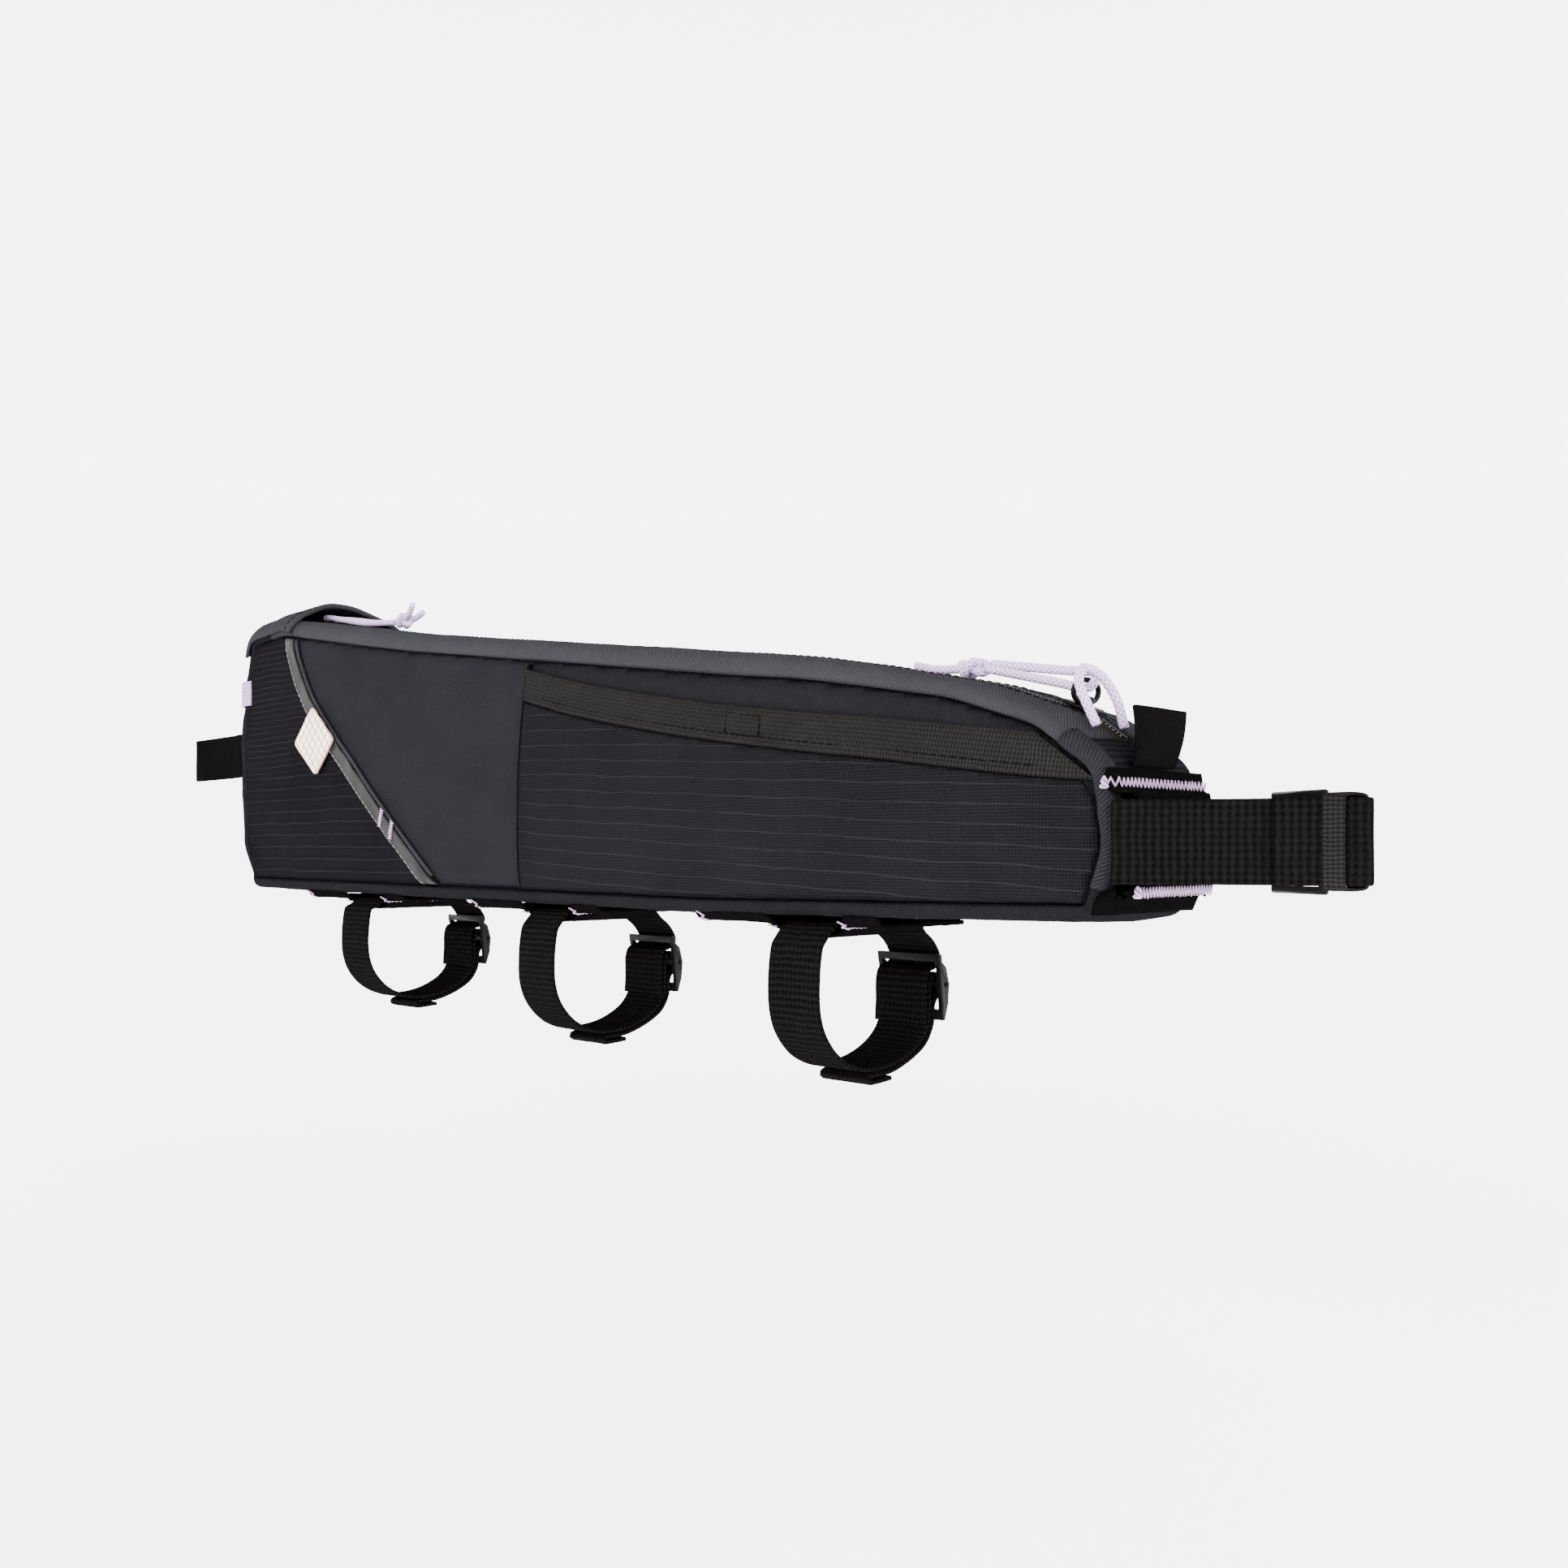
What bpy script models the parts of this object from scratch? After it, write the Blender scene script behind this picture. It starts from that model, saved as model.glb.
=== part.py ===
"""Top tube bag for a bicycle frame: a long soft wedge with a zip along its top.

All lengths in the tables are millimetres.  x runs from the rear lower corner
towards the front, y across the bag and z up from its underside.
"""

import math

import bmesh
import bpy
from mathutils import Matrix, Vector

MM = 0.001
SEAT_X = 210.0          # x of the middle strap, the origin of the finished object
GAP = 0.3               # room left between two neighbouring pieces
HALF_WIDTH = 27.0
NEAR_TAPER = {"start": 370.0, "length": 60.0, "end": 24.5}
FAR_TAPER = {"start": 340.0, "length": 90.0, "end": 20.6}

WALL = 1.5              # padded wall of the bag
TAPE = 0.9              # woven tapes and labels
WEBBING = 1.4
WEBBING_WIDTH = 20.0
VELOUR = 1.3
CORD = 2.5
RING_WIRE = 1.5
REAR_BEND = 3.4         # bend of the rear pull cord through its slider's eye

BAND_EDGE = 6.0
SEAM_X = 198.6          # foot of the upright seam between rear and front wall
SEAM_LEAN = 0.065       # the seam leans forward by this share of its height
TOP_SEAM_DEPTH = 7.4
TOP_SEAM_RISE = 3.0     # the seam comes nearer the top edge at the front
BOTTOM_SEAM_DEPTH = 4.3
REAR_SEAM_DEPTH = 9.5
FRONT_SEAM_DEPTH = 3.4
CROWN = 0.7             # the strips swell this much in their middle

# Side outline of the bag, corner by corner.
OUTLINE = (
    {"x": -7.0, "z": -0.6, "radius": 8.0},
    {"x": -18.0, "z": 17.0, "radius": 22.0},
    {"x": -22.3, "z": 45.0, "radius": 70.0},
    {"x": -18.8, "z": 80.0, "radius": 80.0},
    {"x": -10.5, "z": 114.5, "radius": 13.0},
    {"x": 22.0, "z": 117.0, "radius": 25.0},
    {"x": 120.0, "z": 101.0, "radius": 300.0},
    {"x": 330.0, "z": 72.3, "radius": 300.0},
    {"x": 385.0, "z": 60.5, "radius": 60.0},
    {"x": 412.0, "z": 51.0, "radius": 30.0},
    {"x": 430.0, "z": 37.5, "radius": 12.0},
    {"x": 433.3, "z": 17.0, "radius": 16.0},
    {"x": 427.0, "z": -1.6, "radius": 6.0},
    {"x": 290.0, "z": -3.2, "radius": 500.0},
)

# Diagonal edge of the rear pocket, from the top seam down.
DIAGONAL = (
    {"x": 33.0, "z": 111.0},
    {"x": 40.7, "z": 96.5},
    {"x": 50.5, "z": 83.0},
    {"x": 62.2, "z": 71.8},
    {"x": 95.6, "z": 44.6},
    {"x": 116.8, "z": 27.6},
    {"x": 142.9, "z": 6.4},
    {"x": 152.0, "z": 0.4},
)

# Corners of the soft patch on the diagonal.
DIAMOND = (
    {"x": 59.0, "z": 76.0},
    {"x": 77.3, "z": 61.4},
    {"x": 61.7, "z": 46.8},
    {"x": 42.6, "z": 61.0},
)

# Centre line of the webbing along the mouth of the front pocket.
MOUTH = (
    {"x": 190.0, "z": 76.6},
    {"x": 206.0, "z": 72.7},
    {"x": 235.0, "z": 65.9},
    {"x": 287.5, "z": 56.4},
    {"x": 335.4, "z": 49.6},
    {"x": 363.6, "z": 46.2},
    {"x": 414.0, "z": 39.6},
    {"x": 436.0, "z": 37.6},
)
MOUTH_HALF = 5.5

# Straps under the bag: middle of each strap and the depth of its loop.
LOOPS = (
    {"name": "rear", "x": 88.0, "drop": 46.5},
    {"name": "middle", "x": 210.0, "drop": 50.0},
    {"name": "front", "x": 332.0, "drop": 50.4},
)

# One loop, seen along the bag, for a drop of 50 mm: from the sewn end over the
# top bar of the buckle, through the tunnel and round, then over its middle bar.
LOOP_DROP = 50.0
LOOP_PATH = (
    {"y": 18.9, "z": -36.4},
    {"y": 19.3, "z": -30.0},
    {"y": 19.4, "z": -23.4},
    {"y": 20.6, "z": -20.4},
    {"y": 23.2, "z": -19.5},
    {"y": 25.4, "z": -18.7},
    {"y": 26.2, "z": -16.4},
    {"y": 24.6, "z": -13.5},
    {"y": 21.6, "z": -10.0},
    {"y": 18.9, "z": -5.4},
    {"y": 15.2, "z": -1.6},
    {"y": 9.0, "z": -1.3},
    {"y": -14.0, "z": -1.3},
    {"y": -20.5, "z": -1.5},
    {"y": -24.9, "z": -4.4},
    {"y": -27.4, "z": -11.0},
    {"y": -28.7, "z": -22.0},
    {"y": -28.2, "z": -30.0},
    {"y": -25.6, "z": -36.6},
    {"y": -19.0, "z": -43.4},
    {"y": -9.0, "z": -47.2},
    {"y": 3.0, "z": -47.0},
    {"y": 12.6, "z": -43.9},
    {"y": 18.0, "z": -40.2},
    {"y": 20.8, "z": -35.8},
    {"y": 21.4, "z": -30.5},
    {"y": 21.4, "z": -25.6},
    {"y": 22.4, "z": -22.6},
    {"y": 24.6, "z": -21.5},
    {"y": 26.6, "z": -22.7},
    {"y": 27.0, "z": -24.8},
    {"y": 26.4, "z": -27.2},
    {"y": 24.6, "z": -28.8},
    {"y": 23.3, "z": -31.2},
    {"y": 23.2, "z": -34.6},
    {"y": 22.4, "z": -37.6},
    {"y": 19.3, "z": -42.0},
    {"y": 13.2, "z": -45.6},
    {"y": 3.4, "z": -48.8},
    {"y": -4.4, "z": -49.3},
)

# Side profile of a loop buckle.
BUCKLE_PROFILE = (
    {"z": -15.3, "inner": 22.5, "outer": 24.0},
    {"z": -17.7, "inner": 22.7, "outer": 24.3},
    {"z": -19.4, "inner": 23.2, "outer": 26.4},
    {"z": -24.6, "inner": 23.6, "outer": 27.9},
    {"z": -30.6, "inner": 24.4, "outer": 27.4},
    {"z": -35.6, "inner": 24.6, "outer": 25.7},
)
BUCKLE_HALF = 12.2
BUCKLE_WINDOW = {"low": -32.4, "high": -17.7, "half": 10.5}
BUCKLE_BAR = {"y": 24.9, "z": -24.6, "deep": 1.6, "tall": 2.6}

# Strap of the front end, seen from above.
FRONT_PATH = (
    {"x": 434.9, "y": 15.0},
    {"x": 434.9, "y": -10.0},
    {"x": 434.6, "y": -22.0},
    {"x": 434.3, "y": -26.4},
    {"x": 436.0, "y": -28.2},
    {"x": 440.2, "y": -25.6},
    {"x": 446.4, "y": -20.2},
    {"x": 454.0, "y": -15.2},
    {"x": 466.0, "y": -10.2},
    {"x": 478.0, "y": -5.6},
    {"x": 482.4, "y": -2.4},
    {"x": 480.2, "y": 1.0},
)

# Passes of the same strap at its buckle: along the plate and out from it.
FRONT_SEWN = (
    {"along": -17.0, "out": -2.2},
    {"along": -11.0, "out": -2.5},
    {"along": -7.4, "out": -2.1},
    {"along": -6.1, "out": -0.4},
    {"along": -6.6, "out": 1.5},
    {"along": -8.6, "out": 2.3},
    {"along": -12.0, "out": 1.8},
    {"along": -18.0, "out": 0.2},
)
FRONT_THREADED = (
    {"along": 12.0, "out": -4.0},
    {"along": 4.0, "out": -4.1},
    {"along": -0.6, "out": -3.5},
    {"along": -2.8, "out": -2.0},
    {"along": -3.2, "out": 0.2},
    {"along": -2.2, "out": 2.0},
    {"along": 0.0, "out": 2.6},
    {"along": 2.6, "out": 2.0},
    {"along": 4.2, "out": 0.2},
    {"along": 6.2, "out": -1.7},
    {"along": 8.6, "out": -2.2},
    {"along": 12.0, "out": -2.2},
)
FRONT_RETURN = (
    {"x": 481.6, "y": 2.6},
    {"x": 484.6, "y": -2.6},
    {"x": 479.2, "y": -7.4},
    {"x": 466.8, "y": -12.2},
)
FRONT_BUCKLE = {"x": 461.5, "y": 13.0, "turn": -25.0}
FRONT_STRAP_Z = 17.9

# Strap of the rear end, seen from above.
REAR_PATH = (
    {"x": -81.6, "y": -18.4},
    {"x": -60.0, "y": -19.0},
    {"x": -36.0, "y": -20.6},
    {"x": -27.4, "y": -21.8},
    {"x": -23.8, "y": -19.4},
    {"x": -23.5, "y": -12.0},
    {"x": -23.5, "y": 12.0},
    {"x": -23.8, "y": 19.4},
    {"x": -27.4, "y": 21.8},
    {"x": -36.0, "y": 20.6},
    {"x": -60.0, "y": 19.0},
    {"x": -78.0, "y": 18.4},
)
REAR_STRAP_Z = 59.6
REAR_COVER_X = -25.6    # middle of the patch where it covers the strap

# Colour, roughness and metallic value of each material.
MATERIALS = {
    "twill": ((0.030, 0.032, 0.039), 0.85, 0.0),
    "softshell": ((0.024, 0.024, 0.031), 0.80, 0.0),
    "ripstop": ((0.021, 0.020, 0.025), 0.82, 0.0),
    "webbing": ((0.018, 0.017, 0.013), 0.85, 0.0),
    "grosgrain": ((0.032, 0.031, 0.027), 0.85, 0.0),
    "velour": ((0.012, 0.011, 0.011), 0.95, 0.0),
    "reflective": ((0.130, 0.125, 0.118), 0.45, 0.0),
    "patch_rubber": ((0.900, 0.800, 0.700), 0.60, 0.0),
    "zip_tape": ((0.045, 0.038, 0.034), 0.85, 0.0),
    "hardware": ((0.012, 0.012, 0.013), 0.40, 0.0),
    "lilac_cord": ((0.610, 0.500, 0.720), 0.75, 0.0),
    "lilac_tape": ((0.560, 0.450, 0.640), 0.80, 0.0),
    "label": ((0.006, 0.006, 0.006), 0.70, 0.0),
}


def remove_all():
    """Empty the scene."""
    for item in list(bpy.data.objects):
        bpy.data.objects.remove(item, do_unlink=True)


def new_collection(name, hidden=False):
    """Add a collection to the scene."""
    group = bpy.data.collections.new(name)
    bpy.context.scene.collection.children.link(group)
    group.hide_render = hidden
    return group


def material(name):
    """Find or make the Principled material of a table row."""
    found = bpy.data.materials.get(name)
    if found:
        return found
    color, roughness, metallic = MATERIALS[name]
    made = bpy.data.materials.new(name)
    made.use_nodes = True
    shader = made.node_tree.nodes["Principled BSDF"]
    shader.inputs["Base Color"].default_value = (*color, 1.0)
    shader.inputs["Roughness"].default_value = roughness
    shader.inputs["Metallic"].default_value = metallic
    made.diffuse_color = (*color, 1.0)
    return made


def place(x, y, z):
    """Bag millimetres to metres in the object's frame."""
    return Vector(((x - SEAT_X) * MM, y * MM, z * MM))


def add_object(name, mesh_or_bmesh, finish, group, smooth=False):
    """Link a mesh as a named object with its material."""
    mesh = mesh_or_bmesh
    if isinstance(mesh_or_bmesh, bmesh.types.BMesh):
        mesh = bpy.data.meshes.new(name)
        mesh_or_bmesh.to_mesh(mesh)
        mesh_or_bmesh.free()
    mesh.materials.clear()
    mesh.materials.append(material(finish))
    for face in mesh.polygons:
        face.use_smooth = smooth
    item = bpy.data.objects.new(name, mesh)
    group.objects.link(item)
    return item


def thicken(item, thickness, offset=-1.0):
    """Give an open surface its wall; -1 grows inwards from the faces."""
    wall = item.modifiers.new("wall", "SOLIDIFY")
    wall.thickness = thickness * MM
    wall.offset = offset
    wall.use_even_offset = True
    return item


def smoothstep(value):
    """Smooth ramp from 0 to 1."""
    clamped = min(max(value, 0.0), 1.0)
    return clamped * clamped * (3.0 - 2.0 * clamped)


def spline(rows, first, second, turn=17.0, longest=13.0):
    """Points on a smooth curve through the rows, closer together in bends."""
    knots = [Vector((row[first], row[second])) for row in rows]
    ends = [2 * knots[0] - knots[1]] + knots + [2 * knots[-1] - knots[-2]]
    fine = []
    for p0, p1, p2, p3 in zip(ends, ends[1:], ends[2:], ends[3:]):
        steps = max(int((p2 - p1).length / 0.4), 4)
        for step in range(steps):
            fine.append(catmull(p0, p1, p2, p3, step / steps))
    fine.append(knots[-1].copy())
    return thin_out(fine, turn, longest)


def catmull(p0, p1, p2, p3, t):
    """Centripetal Catmull-Rom point between p1 and p2."""
    t1 = math.sqrt(max((p1 - p0).length, 1e-6))
    t2 = t1 + math.sqrt(max((p2 - p1).length, 1e-6))
    t3 = t2 + math.sqrt(max((p3 - p2).length, 1e-6))
    at = t1 + (t2 - t1) * t
    a1 = p0 * ((t1 - at) / t1) + p1 * (at / t1)
    a2 = p1 * ((t2 - at) / (t2 - t1)) + p2 * ((at - t1) / (t2 - t1))
    a3 = p2 * ((t3 - at) / (t3 - t2)) + p3 * ((at - t2) / (t3 - t2))
    b1 = a1 * ((t2 - at) / t2) + a2 * (at / t2)
    b2 = a2 * ((t3 - at) / (t3 - t1)) + a3 * ((at - t1) / (t3 - t1))
    return b1 * ((t2 - at) / (t2 - t1)) + b2 * ((at - t1) / (t2 - t1))


def thin_out(fine, turn, longest):
    """Keep the points where the curve has turned or run far enough."""
    kept = [fine[0]]
    heading = (fine[1] - fine[0]).normalized()
    for here, ahead in zip(fine[1:-1], fine[2:]):
        step = (ahead - here).normalized()
        bend = math.degrees(heading.angle(step, 0.0))
        run = (here - kept[-1]).length
        if run > longest or (bend > turn and run > 0.5):
            kept.append(here)
            heading = step
    if (fine[-1] - kept[-1]).length < 0.5 and len(kept) > 1:
        kept.pop()
    kept.append(fine[-1])
    return kept


class Outline:
    """Closed side outline with rounded corners, read by its running length."""

    def __init__(self, rows):
        corners = [Vector((row["x"], row["z"])) for row in rows]
        count = len(corners)
        self.points = []
        for index, row in enumerate(rows):
            corner = corners[index]
            back = (corners[index - 1] - corner).normalized()
            ahead = (corners[(index + 1) % count] - corner).normalized()
            half = back.angle(ahead) / 2.0
            reach = row["radius"] / math.tan(half)
            centre = corner + (back + ahead).normalized() * row["radius"] / math.sin(half)
            start = corner + back * reach
            end = corner + ahead * reach
            sweep = (start - centre).angle_signed(end - centre)
            steps = max(int(abs(math.degrees(sweep)) / 2.0), 2)
            for step in range(steps + 1):
                spoke = start - centre
                spoke.rotate(Matrix.Rotation(-sweep * step / steps, 2))
                self.points.append(centre + spoke)
        self.lengths = [0.0]
        for here, ahead in zip(self.points, self.points[1:] + self.points[:1]):
            self.lengths.append(self.lengths[-1] + (ahead - here).length)
        self.total = self.lengths[-1]

    def at(self, length):
        """Point and outward direction at a running length."""
        length = length % self.total
        low, high = 0, len(self.points)
        while high - low > 1:
            middle = (low + high) // 2
            if self.lengths[middle] <= length:
                low = middle
            else:
                high = middle
        here = self.points[low]
        ahead = self.points[(low + 1) % len(self.points)]
        share = (length - self.lengths[low]) / (self.lengths[low + 1] - self.lengths[low])
        return here.lerp(ahead, share)

    def outward(self, length, reach=1.5):
        """Outward direction, averaged over a short run."""
        run = self.at(length + reach) - self.at(length - reach)
        return Vector((-run.y, run.x)).normalized()

    def length_near(self, x, z):
        """Running length of the outline point nearest to (x, z)."""
        goal = Vector((x, z))
        best = min(range(len(self.points)), key=lambda i: (self.points[i] - goal).length)
        low = self.lengths[best] - 25.0
        tries = [low + 0.1 * step for step in range(500)]
        return min(tries, key=lambda value: (self.at(value) - goal).length)

    def stations(self, start, end, turn=17.0, longest=22.0):
        """Running lengths from start to end, closer together in bends."""
        kept = [start]
        heading = self.outward(start)
        value = start + 0.5
        while value < end - 1.5:
            normal = self.outward(value)
            bend = math.degrees(heading.angle(normal, 0.0))
            run = value - kept[-1]
            if run > longest or (bend > turn and run > 1.5):
                kept.append(value)
                heading = normal
            value += 0.25
        kept.append(end)
        return kept


def half_width(x, side=-1):
    """Half of the bag's width, less at the front end; -1 is the near side."""
    taper = FAR_TAPER if side > 0 else NEAR_TAPER
    ramp = smoothstep((x - taper["start"]) / taper["length"])
    return HALF_WIDTH + (taper["end"] - HALF_WIDTH) * ramp


def seam_x(z):
    """x of the upright seam at a height."""
    return SEAM_X + SEAM_LEAN * z


def crossings(loop, x):
    """Heights where a closed loop crosses x."""
    heights = []
    for here, ahead in zip(loop, loop[1:] + loop[:1]):
        if (here.x - x) * (ahead.x - x) <= 0.0 and here.x != ahead.x:
            heights.append(here.y + (ahead.y - here.y) * (x - here.x) / (ahead.x - here.x))
    return heights


def inside(loop, point):
    """True for a point inside a closed loop."""
    return sum(height > point.y for height in crossings(loop, point.x)) % 2 == 1


class Bag:
    """Shared geometry of the soft body."""

    def __init__(self):
        self.outline = Outline(OUTLINE)
        near = self.outline.length_near
        self.rear_top = near(12.0, 112.5)
        self.shoulder = near(422.5, 44.2)
        self.front_low = near(429.4, 8.2)
        self.total = self.outline.total
        self.ring = self.outline.stations(self.rear_top, self.shoulder)
        self.ring += self.outline.stations(self.shoulder, self.front_low)[1:]
        self.ring += self.outline.stations(self.front_low, self.rear_top + self.total)[1:-1]
        self.seam = [self.seam_point(value, GAP) for value in self.ring]

    def seam_depth(self, length):
        """How far the side seam lies in from the outline."""
        normal = self.outline.outward(length, 6.0)
        upward = max(normal.y, 0.0) ** 2
        downward = max(-normal.y, 0.0) ** 2
        rearward = max(-normal.x, 0.0) ** 2
        forward = max(normal.x, 0.0) ** 2
        rise = TOP_SEAM_RISE * smoothstep((self.outline.at(length).x - 300.0) / 110.0)
        return ((TOP_SEAM_DEPTH - rise) * upward + BOTTOM_SEAM_DEPTH * downward
                + REAR_SEAM_DEPTH * rearward + FRONT_SEAM_DEPTH * forward)

    def seam_point(self, length, extra=0.0):
        """Point on the side seam in the x-z plane."""
        normal = self.outline.outward(length)
        return self.outline.at(length) - normal * (self.seam_depth(length) + extra)

    def underside(self, x):
        """Height of the bottom edge of the outline at x."""
        return min(crossings(self.outline.points, x))

    def seam_span(self, x):
        """Lower and upper seam height at x."""
        heights = crossings(self.seam, x)
        if len(heights) < 2:
            return 40.0, 40.0
        return min(heights), max(heights)

    def seam_plane(self, x, z):
        """Plane just inside the stretch of the side seam nearest to (x, z)."""
        goal = Vector((x, z))
        pairs = list(zip(self.seam, self.seam[1:] + self.seam[:1]))
        here, ahead = min(pairs, key=lambda pair: ((pair[0] + pair[1]) / 2.0 - goal).length)
        run = (ahead - here).normalized()
        normal = Vector((-run.y, run.x))
        point = here - normal * 0.6
        return (point.x, 0.0, point.y), (normal.x, 0.0, normal.y)

    def bulge(self, x, z):
        """How far the side wall stands out from the plane of its seam."""
        low, high = self.seam_span(x)
        if high - low < 1.0:
            return 0.0
        share = min(max((z - low) / (high - low), 0.0), 1.0)
        ends = smoothstep((x + 8.0) / 60.0) * smoothstep((426.0 - x) / 30.0)
        swell = (4.0 * share * (1.0 - share)) ** 0.8
        rise = (1.9 + 1.1 * smoothstep((x - 40.0) / 100.0)) * swell
        lower = smoothstep((x - 200.0) / 60.0) * math.sin(math.pi * share ** 0.8) ** 1.5
        rise += 1.9 * lower
        dent = math.exp(-((x - 184.0) / 9.0) ** 2) * smoothstep((z - 25.0) / 40.0)
        rise -= 1.0 * dent * swell
        seam = math.exp(-((x - seam_x(z)) / 5.0) ** 2)
        rise -= 0.6 * seam * swell
        ripple = 0.3 * math.sin(x / 11.0 + 1.4 * share) * smoothstep((x - 230.0) / 60.0)
        return max((rise + ripple * swell) * ends, 0.0)


def channel(bag, name, start, end, side, finish, group):
    """Strip of the shell along the outline, wrapped over the side edges."""
    lengths = [value for value in bag.ring if start + 1.0 < value < end - 1.0]
    shifted = [value + bag.total for value in bag.ring]
    lengths += [value for value in shifted if start + 1.0 < value < end - 1.0]
    lengths = [start] + sorted(lengths) + [end]
    across = profile(side)
    mesh = bmesh.new()
    bmesh.ops.create_grid(mesh, x_segments=len(lengths) - 1, y_segments=len(across) - 1, size=1.0)
    mesh.verts.ensure_lookup_table()
    columns = len(lengths)
    for index, vert in enumerate(mesh.verts):
        column = index % columns
        row = index // columns
        vert.co = channel_point(bag, lengths[column], across[row])
    item = add_object(name, mesh, finish, group, smooth=True)
    return thicken(item, WALL, -1.0)


def profile(side):
    """Stations across the strip: side, share of the corner and of the width."""
    corner = [(-1, -1.0, 0.0)] + [(-1, share / 4.0, 0.0) for share in range(5)]
    if side == "whole":
        flat = [(-1, 1.0, 0.5), (0, 1.0, 1.0), (1, 1.0, 0.5)]
        far = [(1, share, width) for _, share, width in reversed(corner)]
        return corner + flat + far
    run = corner + [(-1, 1.0, 1.0)]
    if side == "near":
        return run
    return [(1, share, width) for _, share, width in reversed(run)]


def channel_point(bag, length, station):
    """Point of a strip at a running length and a station across it."""
    sign, corner, width = station
    here = bag.outline.at(length)
    normal = bag.outline.outward(length)
    depth = bag.seam_depth(length)
    half = half_width(here.x, sign)
    radius = min(depth - 1.2, 7.0)
    angle = max(corner, 0.0) * math.pi / 2.0
    inward = radius * (1.0 - math.cos(angle))
    sunk = depth if corner < 0.0 else radius * (1.0 - math.sin(angle))
    inner_edge = BAND_EDGE if normal.y > 0.5 else 0.0
    across = half - inward
    crown = 0.0
    if width > 0.0:
        across = across + (inner_edge - across) * width
        crown = CROWN * width
    point = here - normal * (sunk - crown)
    return place(point.x, sign * across, point.y)


def lattice_panel(bag, name, loop, keep, side, lift, thickness, finish, group, step=(26.0, 17.0)):
    """Panel of the side wall: a flat outline cut by a lattice, then swelled out."""
    mesh = bmesh.new()
    verts = [mesh.verts.new((point.x, 0.0, point.y)) for point in loop]
    mesh.faces.new(verts)
    for point, normal in keep:
        geometry = mesh.verts[:] + mesh.edges[:] + mesh.faces[:]
        bmesh.ops.bisect_plane(mesh, geom=geometry, plane_co=point, plane_no=normal,
                               clear_outer=True, dist=1e-4)
    lines = [((x, 0, 0), (1, 0, 0)) for x in frange(-8.0, 430.0, step[0])]
    lines += [((0, 0, z), (0, 0, 1)) for z in frange(12.0, 105.0, step[1])]
    lines += [((x, 0, 0), (1, 0, 0)) for x in (SEAM_X - 12.0, SEAM_X + 8.0, 417.0)]
    for point, normal in lines:
        geometry = mesh.verts[:] + mesh.edges[:] + mesh.faces[:]
        bmesh.ops.bisect_plane(mesh, geom=geometry, plane_co=point, plane_no=normal, dist=1e-4)
    bmesh.ops.remove_doubles(mesh, verts=mesh.verts[:], dist=0.4)
    bmesh.ops.triangulate(mesh, faces=mesh.faces[:])
    for vert in mesh.verts:
        x, z = vert.co.x, vert.co.z
        out = half_width(x, side) - 0.5 + bag.bulge(x, z) + lift
        vert.co = place(x, side * out, z)
    face_out(mesh, Vector((0.0, side, 0.0)))
    item = add_object(name, mesh, finish, group, smooth=True)
    return thicken(item, thickness, -1.0)


def face_out(mesh, direction):
    """Turn every face towards a direction."""
    mesh.normal_update()
    wrong = [face for face in mesh.faces if face.normal.dot(direction) < 0.0]
    bmesh.ops.reverse_faces(mesh, faces=wrong)


def frange(start, end, step):
    """Numbers from start to end, step apart."""
    count = int((end - start) / step) + 1
    return [start + index * step for index in range(count)]


def ribbon(name, points, width_axis, low, high, thickness, finish, group, offset=0.0):
    """Strap: a strip swept along points, given its thickness about them.

    width_axis is "x", "y" or "z"; low and high are its limits on that axis.
    """
    mesh = bmesh.new()
    bmesh.ops.create_grid(mesh, x_segments=len(points) - 1, y_segments=1, size=1.0)
    mesh.verts.ensure_lookup_table()
    columns = len(points)
    for index, vert in enumerate(mesh.verts):
        point = points[index % columns]
        edge = high if index // columns else low
        if width_axis == "x":
            vert.co = place(edge, point[0], point[1])
        elif width_axis == "y":
            vert.co = place(point[0], edge, point[1])
        else:
            vert.co = place(point[0], point[1], edge)
    item = add_object(name, mesh, finish, group)
    return thicken(item, thickness, offset)


def surface_ribbon(bag, name, rows, widths, lift, thickness, finish, group, trims=()):
    """Tape laid on the near side wall along a curve in the x-z plane."""
    mesh = bmesh.new()
    bmesh.ops.create_grid(mesh, x_segments=len(rows) - 1, y_segments=2, size=1.0)
    mesh.verts.ensure_lookup_table()
    columns = len(rows)
    for index, vert in enumerate(mesh.verts):
        column = index % columns
        share = (index // columns) / 2.0
        reach = widths[0] + (widths[1] - widths[0]) * share
        point = rows[column] + across_run(rows, column) * reach
        vert.co = (point.x, 0.0, point.y)
    for point, normal in trims:
        geometry = mesh.verts[:] + mesh.edges[:] + mesh.faces[:]
        bmesh.ops.bisect_plane(mesh, geom=geometry, plane_co=point, plane_no=normal,
                               clear_outer=True, dist=1e-4)
    bmesh.ops.remove_doubles(mesh, verts=mesh.verts[:], dist=0.3)
    bmesh.ops.triangulate(mesh, faces=mesh.faces[:])
    for vert in mesh.verts:
        x, z = vert.co.x, vert.co.z
        vert.co = place(x, -(half_width(x) - 0.5 + bag.bulge(x, z) + lift), z)
    face_out(mesh, Vector((0.0, -1.0, 0.0)))
    item = add_object(name, mesh, finish, group)
    return thicken(item, thickness, -1.0)


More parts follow.
